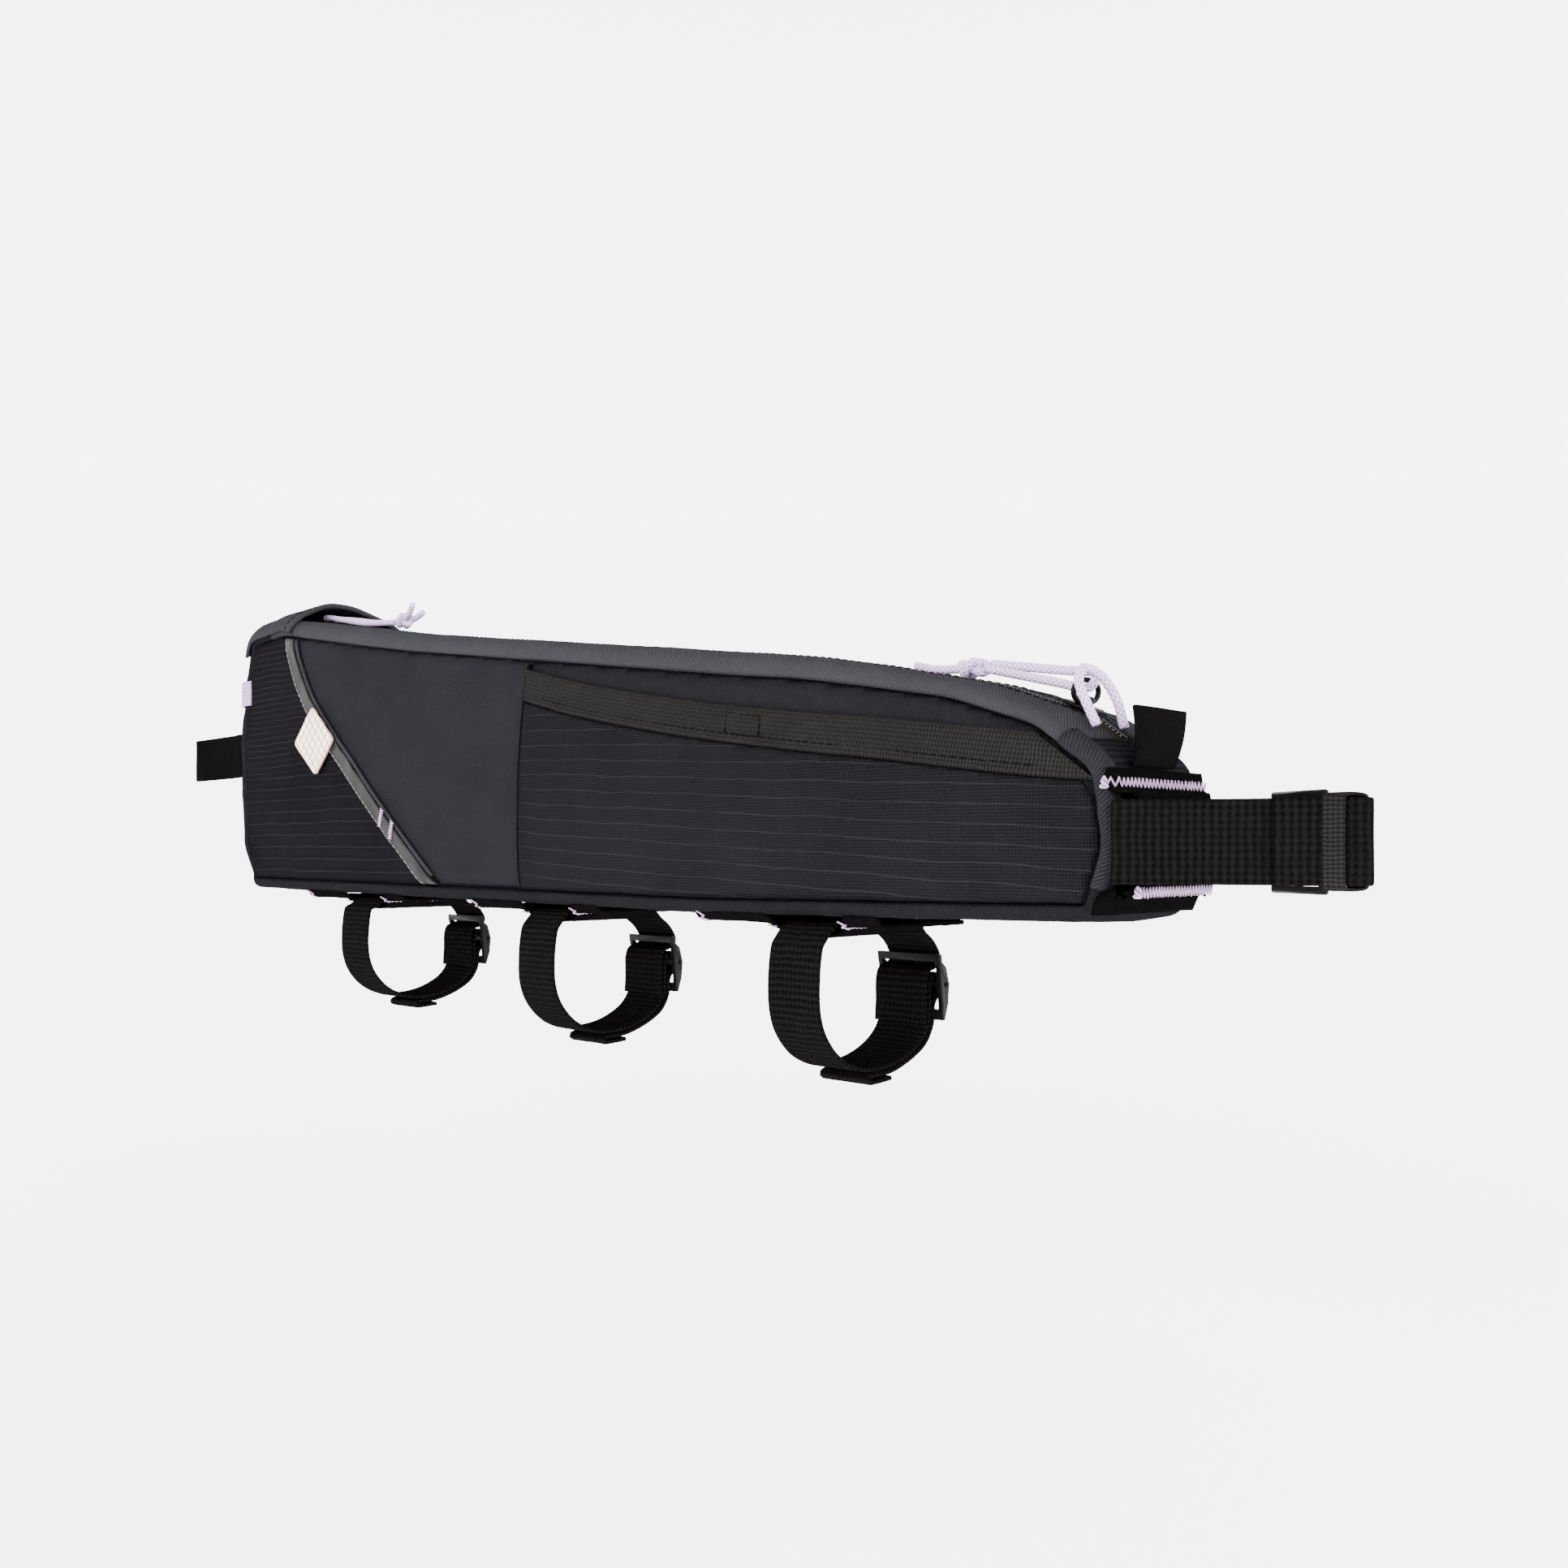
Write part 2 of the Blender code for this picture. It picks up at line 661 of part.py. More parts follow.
def tube(name, points, diameter, finish, group, closed=False):
    """Round cord or wire along points given in bag millimetres."""
    curve = bpy.data.curves.new(name, "CURVE")
    curve.dimensions = "3D"
    curve.bevel_depth = diameter / 2.0 * MM
    curve.bevel_resolution = 2
    curve.use_fill_caps = not closed
    line = curve.splines.new("POLY")
    line.points.add(len(points) - 1)
    line.use_cyclic_u = closed
    for target, point in zip(line.points, points):
        target.co = (*place(*point), 1.0)
    holder = bpy.data.objects.new(name + "_curve", curve)
    bpy.context.scene.collection.objects.link(holder)
    graph = bpy.context.evaluated_depsgraph_get()
    mesh = bpy.data.meshes.new_from_object(holder.evaluated_get(graph))
    mesh.name = name
    bpy.data.objects.remove(holder, do_unlink=True)
    weld = bmesh.new()
    weld.from_mesh(mesh)
    bmesh.ops.remove_doubles(weld, verts=weld.verts[:], dist=1e-6)
    bmesh.ops.recalc_face_normals(weld, faces=weld.faces[:])
    weld.to_mesh(mesh)
    weld.free()
    return add_object(name, mesh, finish, group, smooth=True)


def spline3(rows, step):
    """Evenly spaced points on a smooth space curve through the rows."""
    knots = [Vector((row["x"], row["y"], row["z"])) for row in rows]
    ends = [2 * knots[0] - knots[1]] + knots + [2 * knots[-1] - knots[-2]]
    fine = []
    for p0, p1, p2, p3 in zip(ends, ends[1:], ends[2:], ends[3:]):
        for part in range(24):
            fine.append(catmull(p0, p1, p2, p3, part / 24))
    fine.append(knots[-1])
    total = sum((b - a).length for a, b in zip(fine, fine[1:]))
    count = max(int(total / step), 2)
    kept = [fine[0]]
    run = 0.0
    for here, ahead in zip(fine, fine[1:]):
        run += (ahead - here).length
        if run >= total / count * len(kept) and len(kept) < count:
            kept.append(ahead)
    kept.append(fine[-1])
    return kept


def box(name, centre, size, bevel, finish, group):
    """Bevelled block with its centre and size in bag millimetres."""
    mesh = bmesh.new()
    bmesh.ops.create_cube(mesh, size=1.0)
    for vert in mesh.verts:
        vert.co = Vector([vert.co[axis] * size[axis] * MM for axis in range(3)])
    if bevel:
        bmesh.ops.bevel(mesh, geom=mesh.edges[:], offset=bevel * MM, segments=1,
                        affect="EDGES", profile=0.5)
    item = add_object(name, mesh, finish, group)
    item.location = place(*centre)
    return item


def cylinder(name, centre, radius, length, turn, finish, group, sides=12):
    """Round bar with its centre in bag millimetres, turned by Euler angles."""
    mesh = bmesh.new()
    bmesh.ops.create_cone(mesh, cap_ends=True, segments=sides, radius1=radius * MM,
                          radius2=radius * MM, depth=length * MM)
    item = add_object(name, mesh, finish, group)
    item.location = place(*centre)
    item.rotation_euler = turn
    return item


def combine(item, other, operation, cutters):
    """Boolean between two objects; the second one becomes a hidden cutter."""
    for group in list(other.users_collection):
        group.objects.unlink(other)
    cutters.objects.link(other)
    other.display_type = "WIRE"
    other.hide_render = True
    cut = item.modifiers.new(operation.lower(), "BOOLEAN")
    cut.operation = operation
    cut.solver = "EXACT"
    cut.object = other
    return item


def build_shell(bag, group):
    """Gusset, front panel, top bands, zip and side walls."""
    half_gap = GAP / 2.0
    channel(bag, "top_band_near", bag.rear_top + half_gap, bag.shoulder - half_gap,
            "near", "twill", group)
    channel(bag, "top_band_far", bag.rear_top + half_gap, bag.shoulder - half_gap,
            "far", "twill", group)
    channel(bag, "front_panel", bag.shoulder + half_gap, bag.front_low - half_gap,
            "whole", "ripstop", group)
    channel(bag, "bottom_gusset", bag.front_low + half_gap,
            bag.rear_top + bag.total - half_gap, "whole", "twill", group)
    build_zip(bag, group)
    rear_side = [((SEAM_X - half_gap, 0, 0), (1, 0, -SEAM_LEAN))]
    front_side = [((SEAM_X + half_gap, 0, 0), (-1, 0, SEAM_LEAN))]
    lattice_panel(bag, "side_panel_near", bag.seam, rear_side, -1, 0.0, WALL, "softshell", group)
    lattice_panel(bag, "side_panel_front", bag.seam, front_side, -1, 0.0, WALL, "twill", group)
    lattice_panel(bag, "side_panel_far", bag.seam, [], 1, 0.0, WALL, "twill", group)


def build_zip(bag, group):
    """Zip tape with its closed coil, in the slot between the top bands."""
    lengths = [value for value in bag.ring if bag.rear_top + 6.0 < value < bag.shoulder - 2.0]
    lengths = [bag.rear_top + 4.0] + lengths + [bag.shoulder - 0.5]
    across = ((-5.6, -0.6), (-2.7, -0.6), (-2.0, 0.6), (2.0, 0.6), (2.7, -0.6), (5.6, -0.6))
    mesh = bmesh.new()
    bmesh.ops.create_grid(mesh, x_segments=len(lengths) - 1, y_segments=len(across) - 1, size=1.0)
    mesh.verts.ensure_lookup_table()
    for index, vert in enumerate(mesh.verts):
        length = lengths[index % len(lengths)]
        y, height = across[index // len(lengths)]
        point = bag.outline.at(length) + bag.outline.outward(length) * height
        vert.co = place(point.x, y, point.y)
    item = add_object("zip_tape", mesh, "zip_tape", group)
    thicken(item, 1.0, -1.0)


def chain_outside(loop, test):
    """Part of a closed loop that passes the test, in order."""
    flags = [test(point) for point in loop]
    start = next(i for i in range(len(loop)) if flags[i] and not flags[i - 1])
    ordered = loop[start:] + loop[:start]
    flags = flags[start:] + flags[:start]
    return [point for point, flag in zip(ordered, flags) if flag]


def curve_x(rows, z):
    """x of a falling polyline at height z."""
    for here, ahead in zip(rows, rows[1:]):
        if here.y >= z >= ahead.y:
            return here.x + (ahead.x - here.x) * (here.y - z) / (here.y - ahead.y)
    return rows[0].x if z > rows[0].y else rows[-1].x


def curve_z(rows, x):
    """z of a polyline at x."""
    for here, ahead in zip(rows, rows[1:]):
        if here.x <= x <= ahead.x:
            return here.y + (ahead.y - here.y) * (x - here.x) / (ahead.x - here.x)
    return rows[0].y if x < rows[0].x else rows[-1].y


def build_side(bag, group):
    """Pockets, tapes and patch on the near side wall."""
    middle = Vector((205.0, 50.0))
    inner = [point + (middle - point).normalized() * 0.5 for point in bag.seam]
    diagonal = spline(DIAGONAL, "x", "z", longest=16.0)
    rear_loop = chain_outside(inner, lambda p: p.x < curve_x(diagonal, p.y) - 1.5)
    lattice_panel(bag, "rear_pocket", rear_loop + clipped(bag, DIAGONAL, 0.0), [], -1,
                  GAP + 1.0, 1.0, "ripstop", group)
    binding = spline(DIAGONAL, "x", "z", turn=8.0, longest=12.0)
    surface_ribbon(bag, "pocket_binding", binding, (0.2, -6.2), 2 * GAP + 1.0 + TAPE,
                   TAPE, "reflective", group,
                   (bag.seam_plane(30.0, 108.0), bag.seam_plane(150.0, 2.0)))
    hem = clipped(bag, MOUTH, -(MOUTH_HALF + 0.5), seam_x(67.0) + 1.0)
    low_loop = chain_outside(inner, lambda p: p.x > seam_x(p.y) + 1.5
                             and p.y < curve_z(hem, p.x) - 1.0)
    foot_x = seam_x(2.0) + 1.0
    foot = Vector((foot_x, bag.seam_span(foot_x)[0] + 0.5))
    lattice_panel(bag, "front_pocket", low_loop + [foot] + hem, [], -1, GAP + 1.3, 1.0,
                  "ripstop", group)
    mouth = spline(MOUTH, "x", "z", longest=26.0)
    start = ((seam_x(72.6) + 1.0, 0.0, 72.6), (-1.0, 0.0, SEAM_LEAN))
    surface_ribbon(bag, "pocket_webbing", mouth, (-MOUTH_HALF, MOUTH_HALF), WEBBING + 0.7,
                   WEBBING, "grosgrain", group, (start, bag.seam_plane(418.0, 40.0)))
    build_diamond(bag, group)


def clipped(bag, rows, shift, start=-50.0):
    """Curve through the rows, moved sideways, where it lies in the seam and past start."""
    fine = spline(rows, "x", "z", turn=1.0, longest=1.0)
    moved = [point + across_run(fine, index) * shift for index, point in enumerate(fine)]
    sides = (Vector((0.6, 0.0)), Vector((-0.6, 0.0)), Vector((0.0, 0.6)), Vector((0.0, -0.6)))
    kept = [point for point in moved if point.x > start
            and all(inside(bag.seam, point + side) for side in sides)]
    return thin_out(kept, 17.0, 16.0)


def across_run(rows, index):
    """Direction square to a polyline at one of its points."""
    before = rows[max(index - 1, 0)]
    after = rows[min(index + 1, len(rows) - 1)]
    run = (after - before).normalized()
    return Vector((-run.y, run.x))


def build_diamond(bag, group):
    """Soft diamond patch folded over the grey tape."""
    mesh = bmesh.new()
    verts = [mesh.verts.new((row["x"], 0.0, row["z"])) for row in DIAMOND]
    mesh.faces.new(verts)
    bmesh.ops.bevel(mesh, geom=mesh.verts[:], offset=2.0, segments=2, affect="VERTICES",
                    profile=0.5)
    for point, normal in (((60.0, 0, 61.0), (1, 0, 1)), ((60.0, 0, 61.0), (1, 0, -1))):
        geometry = mesh.verts[:] + mesh.edges[:] + mesh.faces[:]
        bmesh.ops.bisect_plane(mesh, geom=geometry, plane_co=point, plane_no=normal, dist=1e-4)
    bmesh.ops.triangulate(mesh, faces=mesh.faces[:])
    lift = 3 * GAP + 1.0 + 2 * TAPE + 0.2
    for vert in mesh.verts:
        x, z = vert.co.x, vert.co.z
        vert.co = place(x, -(half_width(x) - 0.5 + bag.bulge(x, z) + lift), z)
    face_out(mesh, Vector((0.0, -1.0, 0.0)))
    thicken(add_object("diamond_patch", mesh, "patch_rubber", group), TAPE, -1.0)


def build_hood(bag, group):
    """Arched flap over the rear end of the zip."""
    radius = 6.6
    base = 1.9
    stations = []
    for angle in (82.0, 58.0, 34.0, 11.0):
        turn = math.radians(angle)
        stations.append((-(HALF_WIDTH - radius + (radius + base) * math.sin(turn)),
                         (radius + base) * math.cos(turn) - radius))
    stations += [(y, base) for y in (-16.0, -10.0, -4.0)]
    stations += [(-y, height) for y, height in reversed(stations)]
    back = bag.outline.length_near(-13.0, 104.0)
    front = bag.outline.length_near(32.0, 115.0)
    lengths = bag.outline.stations(back, front, turn=14.0, longest=9.0)
    mesh = bmesh.new()
    bmesh.ops.create_grid(mesh, x_segments=len(stations) - 1, y_segments=len(lengths) - 1,
                          size=1.0)
    mesh.verts.ensure_lookup_table()
    for index, vert in enumerate(mesh.verts):
        y, height = stations[index % len(stations)]
        station = lengths[index // len(stations)]
        along = (station - back) / (front - back)
        arch = max(math.cos(math.pi * y / 52.0), 0.0) ** 1.3
        length = station - 9.0 * arch * along
        lift = height + 7.2 * arch * math.sin(along * math.pi / 2.0) ** 0.38
        lifted = bag.outline.at(length) + bag.outline.outward(length, 5.0) * lift
        vert.co = place(lifted.x, y, lifted.y)
    face_out(mesh, Vector((-0.4, 0.0, 1.0)))
    thicken(add_object("hood", mesh, "twill", group, smooth=True), 1.2, -1.0)


def build_slider(bag, name, at, eye, group, cutters):
    """Zip slider: a plate on the coil with a bridge and an eye across it."""
    length = bag.outline.length_near(*at)
    base = bag.outline.at(length)
    normal = bag.outline.outward(length)
    tilt = (0.0, math.atan2(normal.x, normal.y), 0.0)
    body = box("zip_slider_" + name, (0, 0, 0), (9.0, 7.0, 1.2), 0.3, "hardware", group)
    centre = base + normal * 1.5
    body.location = place(centre.x, 0.0, centre.y)
    body.rotation_euler = tilt
    top = eye["height"] + eye["radius"] + 0.7
    bridge = box("zip_bridge_" + name, (0, 0, 0),
                 (2.0 * eye["radius"] + 2.6, 2.0, top - 1.5), 0.4, "hardware", group)
    middle = base + normal * (top + 1.5) / 2.0
    bridge.location = place(middle.x, 0.0, middle.y)
    bridge.rotation_euler = tilt
    combine(body, bridge, "UNION", cutters)
    eye_at = base + normal * eye["height"]
    hole = cylinder("zip_eye_" + name, (0, 0, 0), eye["radius"], 12.0,
                    (math.pi / 2.0, 0.0, 0.0), "hardware", group)
    hole.location = place(eye_at.x, 0.0, eye_at.y)
    combine(body, hole, "DIFFERENCE", cutters)
    return eye_at


def build_ring(name, centre, direction, size, group):
    """Pull ring through a slider's eye, as a closed wire."""
    long, wide = size
    shape = [(0.0, 0.0), (0.02, 0.5), (0.16, 0.85), (0.42, 1.0), (0.7, 0.92), (0.94, 0.6),
             (1.0, 0.0)]
    loop = shape + [(along, -across) for along, across in reversed(shape[1:-1])]
    points = []
    for along, across in loop:
        point = centre + direction * along * long
        points.append(Vector((point.x, across * wide / 2.0, point.y)))
    return tube(name, points, RING_WIRE, "hardware", group, closed=True)


def build_knot(name, centre, size, tails, group, cutters):
    """Overhand knot: a lumpy ball with the cut cord ends standing out of it."""
    mesh = bmesh.new()
    bmesh.ops.create_icosphere(mesh, subdivisions=2, radius=1.0)
    for vert in mesh.verts:
        lump = 1.0 + 0.08 * math.sin(vert.co.x * 6.5) * math.cos(vert.co.z * 5.0)
        vert.co = Vector([vert.co[axis] * size[axis] * MM * lump for axis in range(3)])
    item = add_object(name, mesh, "lilac_cord", group, smooth=True)
    item.location = place(*centre)
    for number, tail in enumerate(tails):
        end = tube(name + "_tail_" + str(number), tail, CORD, "lilac_cord", group)
        combine(item, end, "UNION", cutters)
    return item


def build_cords(bag, group, cutters):
    """Sliders, ring, pull cords with their knots, and the cord arch."""
    front_eye = build_slider(bag, "front", (408.6, 52.2), {"height": 2.7, "radius": 1.1},
                             group, cutters)
    rear_eye = build_slider(bag, "rear", (15.0, 116.5), {"height": 4.1, "radius": 1.8},
                            group, cutters)
    upward = Vector((0.16, 1.0)).normalized()
    rearward = Vector((-upward.y, upward.x))
    height = 5.7
    build_ring("zip_ring_front", front_eye, upward, (height, 11.8), group)
    bar = front_eye + upward * height
    reach = 2.25
    wrap = []
    for number, angle in enumerate((-90.0, -130.0, -180.0, -230.0, -270.0)):
        turn = math.radians(angle)
        point = bar + (rearward * math.cos(turn) + upward * math.sin(turn)) * reach
        wrap.append({"x": point.x, "y": -1.5 + 0.75 * number, "z": point.y})
    lower = bar + rearward * 7.0 - upward * 1.5
    upper = bar + rearward * 7.0 + upward * 2.1
    front_loop = [{"x": 379.3, "y": -1.4, "z": 65.9}, {"x": lower.x, "y": -1.8, "z": lower.y}]
    front_loop += wrap
    front_loop += [{"x": upper.x, "y": 1.8, "z": upper.y}, {"x": 379.3, "y": 1.4, "z": 67.4}]
    rear_loop = [{"x": 73.5, "y": -1.5, "z": 112.6}, {"x": 52.0, "y": -2.6, "z": 114.4},
                 {"x": 34.0, "y": -3.3, "z": 117.6}]
    for angle in (-90.0, -125.0, -180.0, -235.0, -270.0):
        turn = math.radians(angle)
        rear_loop.append({"x": rear_eye.x + REAR_BEND * (1.0 + math.cos(turn)),
                          "y": REAR_BEND * math.sin(turn), "z": rear_eye.y})
    rear_loop += [{"x": 34.0, "y": 3.3, "z": 118.2}, {"x": 52.0, "y": 2.6, "z": 115.2},
                  {"x": 73.5, "y": 1.5, "z": 113.2}]
    arch = (
        {"x": 420.4, "y": -11.6, "z": 47.2},
        {"x": 417.6, "y": -12.2, "z": 53.4},
        {"x": 414.9, "y": -11.2, "z": 59.0},
        {"x": 414.4, "y": -8.0, "z": 62.4},
        {"x": 416.4, "y": -3.6, "z": 60.8},
        {"x": 419.4, "y": -0.8, "z": 54.8},
        {"x": 421.0, "y": 0.6, "z": 47.2},
    )
    tube("front_pull_cord", spline3(front_loop, 1.8), CORD, "lilac_cord", group)
    tube("rear_pull_cord", spline3(rear_loop, 2.2), CORD, "lilac_cord", group)
    tube("cord_arch", spline3(arch, 2.6), CORD, "lilac_cord", group)
    front_tail = [Vector((372.0, -1.5, 66.6)), Vector((364.0, -2.6, 66.8)),
                  Vector((356.4, -3.6, 68.4))]
    rear_tails = (
        [Vector((78.6, -0.8, 113.0)), Vector((83.4, -1.2, 115.4)), Vector((87.0, -1.6, 118.6))],
        [Vector((78.6, 0.8, 112.8)), Vector((83.6, 1.8, 113.6)), Vector((88.2, 2.6, 115.6))],
    )
    build_knot("front_pull_knot", (373.8, -0.2, 66.6), (5.2, 3.5, 2.6), [front_tail],
               group, cutters)
    build_knot("rear_pull_knot", (77.8, 0.0, 112.9), (4.2, 3.4, 3.0), rear_tails, group, cutters)


def build_loops(bag, group, cutters):
    """Three velour patches underneath, each with a strap loop and its buckle."""
    for row in LOOPS:
        x = row["x"]
        rise = LOOP_DROP - row["drop"]
        base = min(bag.underside(x - 45.0), bag.underside(x), bag.underside(x + 28.0)) - CROWN
        ground = base - (GAP + VELOUR / 2.0)
        tunnel = base - (1.3 + WEBBING / 2.0 + GAP + VELOUR)
        path = (
            {"x": x - 45.0, "z": ground},
            {"x": x - 20.0, "z": ground},
            {"x": x - 15.0, "z": ground - 0.3},
            {"x": x - 11.2, "z": tunnel},
            {"x": x + 11.2, "z": tunnel - 0.2},
            {"x": x + 15.0, "z": ground - 0.3},
            {"x": x + 20.0, "z": ground - 0.2},
            {"x": x + 28.0, "z": ground - 0.2},
        )
        ribbon("bottom_patch_" + row["name"], spline(path, "x", "z"), "y", -20.6, 14.0,
               VELOUR, "velour", group)
        points = []
        for point in spline(LOOP_PATH, "y", "z", turn=17.0, longest=14.0):
            shift = base * smoothstep((point.y + 12.0) / 8.0)
            shift += rise * smoothstep((-point.y - 2.0) / 10.0)
            points.append(Vector((point.x, point.y + shift)))
        half = WEBBING_WIDTH / 2.0
        ribbon("loop_strap_" + row["name"], points, "x", x - half, x + half, WEBBING,
               "webbing", group)
        build_loop_buckle(row, rise, group, cutters)


def build_loop_buckle(row, rise, group, cutters):
    """Curved ladder buckle on the far strand: a window crossed by one bar."""
    name = "loop_buckle_" + row["name"]
    x = row["x"]
    mesh = bmesh.new()
    rings = []
    for station in BUCKLE_PROFILE:
        z = station["z"] + rise
        corners = ((x - BUCKLE_HALF, station["inner"]), (x - BUCKLE_HALF, station["outer"]),
                   (x + BUCKLE_HALF, station["outer"]), (x + BUCKLE_HALF, station["inner"]))
        rings.append([mesh.verts.new(place(across, y, z)) for across, y in corners])
    for first, second in zip(rings, rings[1:]):
        for index in range(4):
            other = (index + 1) % 4
            mesh.faces.new((first[index], first[other], second[other], second[index]))
    mesh.faces.new(rings[0])
    mesh.faces.new(rings[-1])
    bmesh.ops.recalc_face_normals(mesh, faces=mesh.faces[:])
    item = add_object(name, mesh, "hardware", group)
    low, high = BUCKLE_WINDOW["low"], BUCKLE_WINDOW["high"]
    window = box(name + "_window", (x, 25.0, (low + high) / 2.0 + rise),
                 (2.0 * BUCKLE_WINDOW["half"], 12.0, high - low), 0.0, "hardware", group)
    combine(item, window, "DIFFERENCE", cutters)
    bar = box(name + "_bar", (x, BUCKLE_BAR["y"], BUCKLE_BAR["z"] + rise),
              (2.0 * BUCKLE_WINDOW["half"] + 1.6, BUCKLE_BAR["deep"], BUCKLE_BAR["tall"]),
              0.4, "hardware", group)
    combine(item, bar, "UNION", cutters)
    hole = cylinder(name + "_hole", (x + BUCKLE_HALF, 25.9, BUCKLE_BAR["z"] + rise), 0.8, 1.2,
                    (0.0, math.pi / 2.0, 0.0), "hardware", group, 10)
    combine(item, hole, "DIFFERENCE", cutters)


def at_front_buckle(rows):
    """Points given along the front buckle's plate and out from it, in x and y."""
    turn = math.radians(FRONT_BUCKLE["turn"])
    along = Vector((math.cos(turn), math.sin(turn)))
    out = Vector((-math.sin(turn), math.cos(turn)))
    centre = Vector((FRONT_BUCKLE["x"], FRONT_BUCKLE["y"]))
    points = [centre + along * row["along"] + out * row["out"] for row in rows]
    return [{"x": point.x, "y": point.y} for point in points]


def build_front(bag, group, cutters):
    """Velour patch, strap, keeper and buckle, and the label."""
    half = WEBBING_WIDTH / 2.0
    low, high = FRONT_STRAP_Z - half, FRONT_STRAP_Z + half
    turning = [{"x": 440.2, "y": 22.2}, {"x": 436.8, "y": 22.2}, {"x": 435.1, "y": 19.8}]
    path = at_front_buckle(FRONT_SEWN) + turning + list(FRONT_PATH)
    path += at_front_buckle(FRONT_THREADED) + list(FRONT_RETURN)
    ribbon("front_strap", spline(path, "x", "y", turn=17.0, longest=14.0), "z", low, high,
           WEBBING, "webbing", group)
    build_front_patch(group)
    build_keeper(group)
    turn = (0.0, 0.0, math.radians(FRONT_BUCKLE["turn"]))
    centre = (FRONT_BUCKLE["x"], FRONT_BUCKLE["y"], FRONT_STRAP_Z)
    plate = box("front_buckle", centre, (19.0, 1.8, 25.0), 0.5, "hardware", group)
    plate.rotation_euler = turn
    window = box("front_buckle_window", centre, (15.0, 6.0, 21.2), 0.0, "hardware", group)
    window.rotation_euler = turn
    combine(plate, window, "DIFFERENCE", cutters)
    bar = box("front_buckle_bar", centre, (2.0, 1.6, 22.6), 0.4, "hardware", group)
    bar.rotation_euler = turn
    combine(plate, bar, "UNION", cutters)
    build_label(group)


def build_front_patch(group):
    """Velour patch on the front end, wrapped round the near corner above and below."""
    face = (
        {"x": 429.6, "z": 0.4, "near": -25.6, "far": 19.0},
        {"x": 431.6, "z": 4.6, "near": -25.6, "far": 19.0},
        {"x": 436.7, "z": 6.0, "near": -21.0, "far": 15.0},
        {"x": 437.1, "z": 18.0, "near": -21.0, "far": 15.0},
        {"x": 436.7, "z": 29.8, "near": -21.0, "far": 15.0},
        {"x": 433.0, "z": 31.4, "near": -25.4, "far": 19.0},
        {"x": 432.0, "z": 35.8, "near": -24.4, "far": 19.0},
    )
    shares = (0.0, 0.05, 0.14, 0.5, 1.0)
    mesh = bmesh.new()
    bmesh.ops.create_grid(mesh, x_segments=len(shares) - 1, y_segments=len(face) - 1, size=1.0)
    mesh.verts.ensure_lookup_table()
    for index, vert in enumerate(mesh.verts):
        share = shares[index % len(shares)]
        row = face[index // len(shares)]
        y = row["near"] + (row["far"] - row["near"]) * share
        wrap = 2.6 * max((-y - 22.0) / 3.6, 0.0) ** 1.6
        vert.co = place(row["x"] - wrap, y, row["z"])
    face_out(mesh, Vector((1.0, -0.3, 0.0)))
    thicken(add_object("front_patch", mesh, "velour", group), VELOUR, 0.0)


def build_keeper(group):
    """Elastic keeper: a closed band round the layers of the front strap."""
    loop = (
        {"y": -9.8, "z": 7.4}, {"y": -8.8, "z": 6.2}, {"y": 4.8, "z": 6.2},
        {"y": 6.0, "z": 7.4}, {"y": 6.0, "z": 28.4}, {"y": 4.8, "z": 29.6},
        {"y": -8.8, "z": 29.6}, {"y": -9.8, "z": 28.4},
    )
    mesh = bmesh.new()
    rings = []
    for x in (477.0, 481.8):
        rings.append([mesh.verts.new(place(x, row["y"], row["z"])) for row in loop])
    for index in range(len(loop)):
        other = (index + 1) % len(loop)
        mesh.faces.new((rings[0][index], rings[0][other], rings[1][other], rings[1][index]))
    bmesh.ops.recalc_face_normals(mesh, faces=mesh.faces[:])
    thicken(add_object("strap_keeper", mesh, "webbing", group), 0.9, 1.0)


def build_label(group):
    """Woven label that stands up from behind the front patch."""
    mesh = bmesh.new()
    bmesh.ops.create_grid(mesh, x_segments=2, y_segments=3, size=1.0)
    mesh.verts.ensure_lookup_table()
    for index, vert in enumerate(mesh.verts):
        across = (index % 3) / 2.0
        up = (index // 3) / 3.0
        y = -14.0 + 19.6 * across + up * (3.4 + 6.6 * across)
        x = 432.4 + 0.8 * math.sin(up * math.pi) - 1.8 * up
        vert.co = place(x, y, 36.3 + 15.5 * up)
    face_out(mesh, Vector((1.0, 0.0, 0.0)))
    thicken(add_object("label", mesh, "label", group), TAPE, -1.0)


def build_rear(bag, group):
    """Velour patch with its strap, and the lilac loop for a light."""
    half = WEBBING_WIDTH / 2.0
    points = spline(REAR_PATH, "x", "y", turn=15.0)
    ribbon("rear_strap", points, "z", REAR_STRAP_Z - half, REAR_STRAP_Z + half, WEBBING,
           "webbing", group)
    face = []
    for z in (9.0, 13.0, 17.0, 21.5, 26.0, 36.0, 46.0, 48.6, 60.0, 70.6, 73.2, 80.6):
        length = bag.outline.length_near(-20.0, z)
        over = smoothstep((z - 45.5) / 3.0) * smoothstep((74.0 - z) / 3.0)
        point = bag.outline.at(length) + bag.outline.outward(length) * (CROWN + 1.3)
        face.append({"x": point.x + (REAR_COVER_X - point.x) * over, "z": point.y})
    ribbon("rear_patch", spline(face, "x", "z"), "y", -17.0, 17.0, VELOUR, "velour", group)
    loop = (
        {"x": -9.6, "y": -27.8},
        {"x": -13.4, "y": -27.4},
        {"x": -17.6, "y": -25.2},
        {"x": -19.6, "y": -21.0},
        {"x": -20.6, "y": -12.0},
        {"x": -21.2, "y": 0.0},
        {"x": -20.6, "y": 12.0},
        {"x": -19.6, "y": 21.0},
        {"x": -17.6, "y": 25.2},
        {"x": -13.4, "y": 27.4},
        {"x": -9.6, "y": 27.8},
    )
    ribbon("light_loop", spline(loop, "x", "y"), "z", 81.0, 92.0, TAPE, "lilac_tape", group)


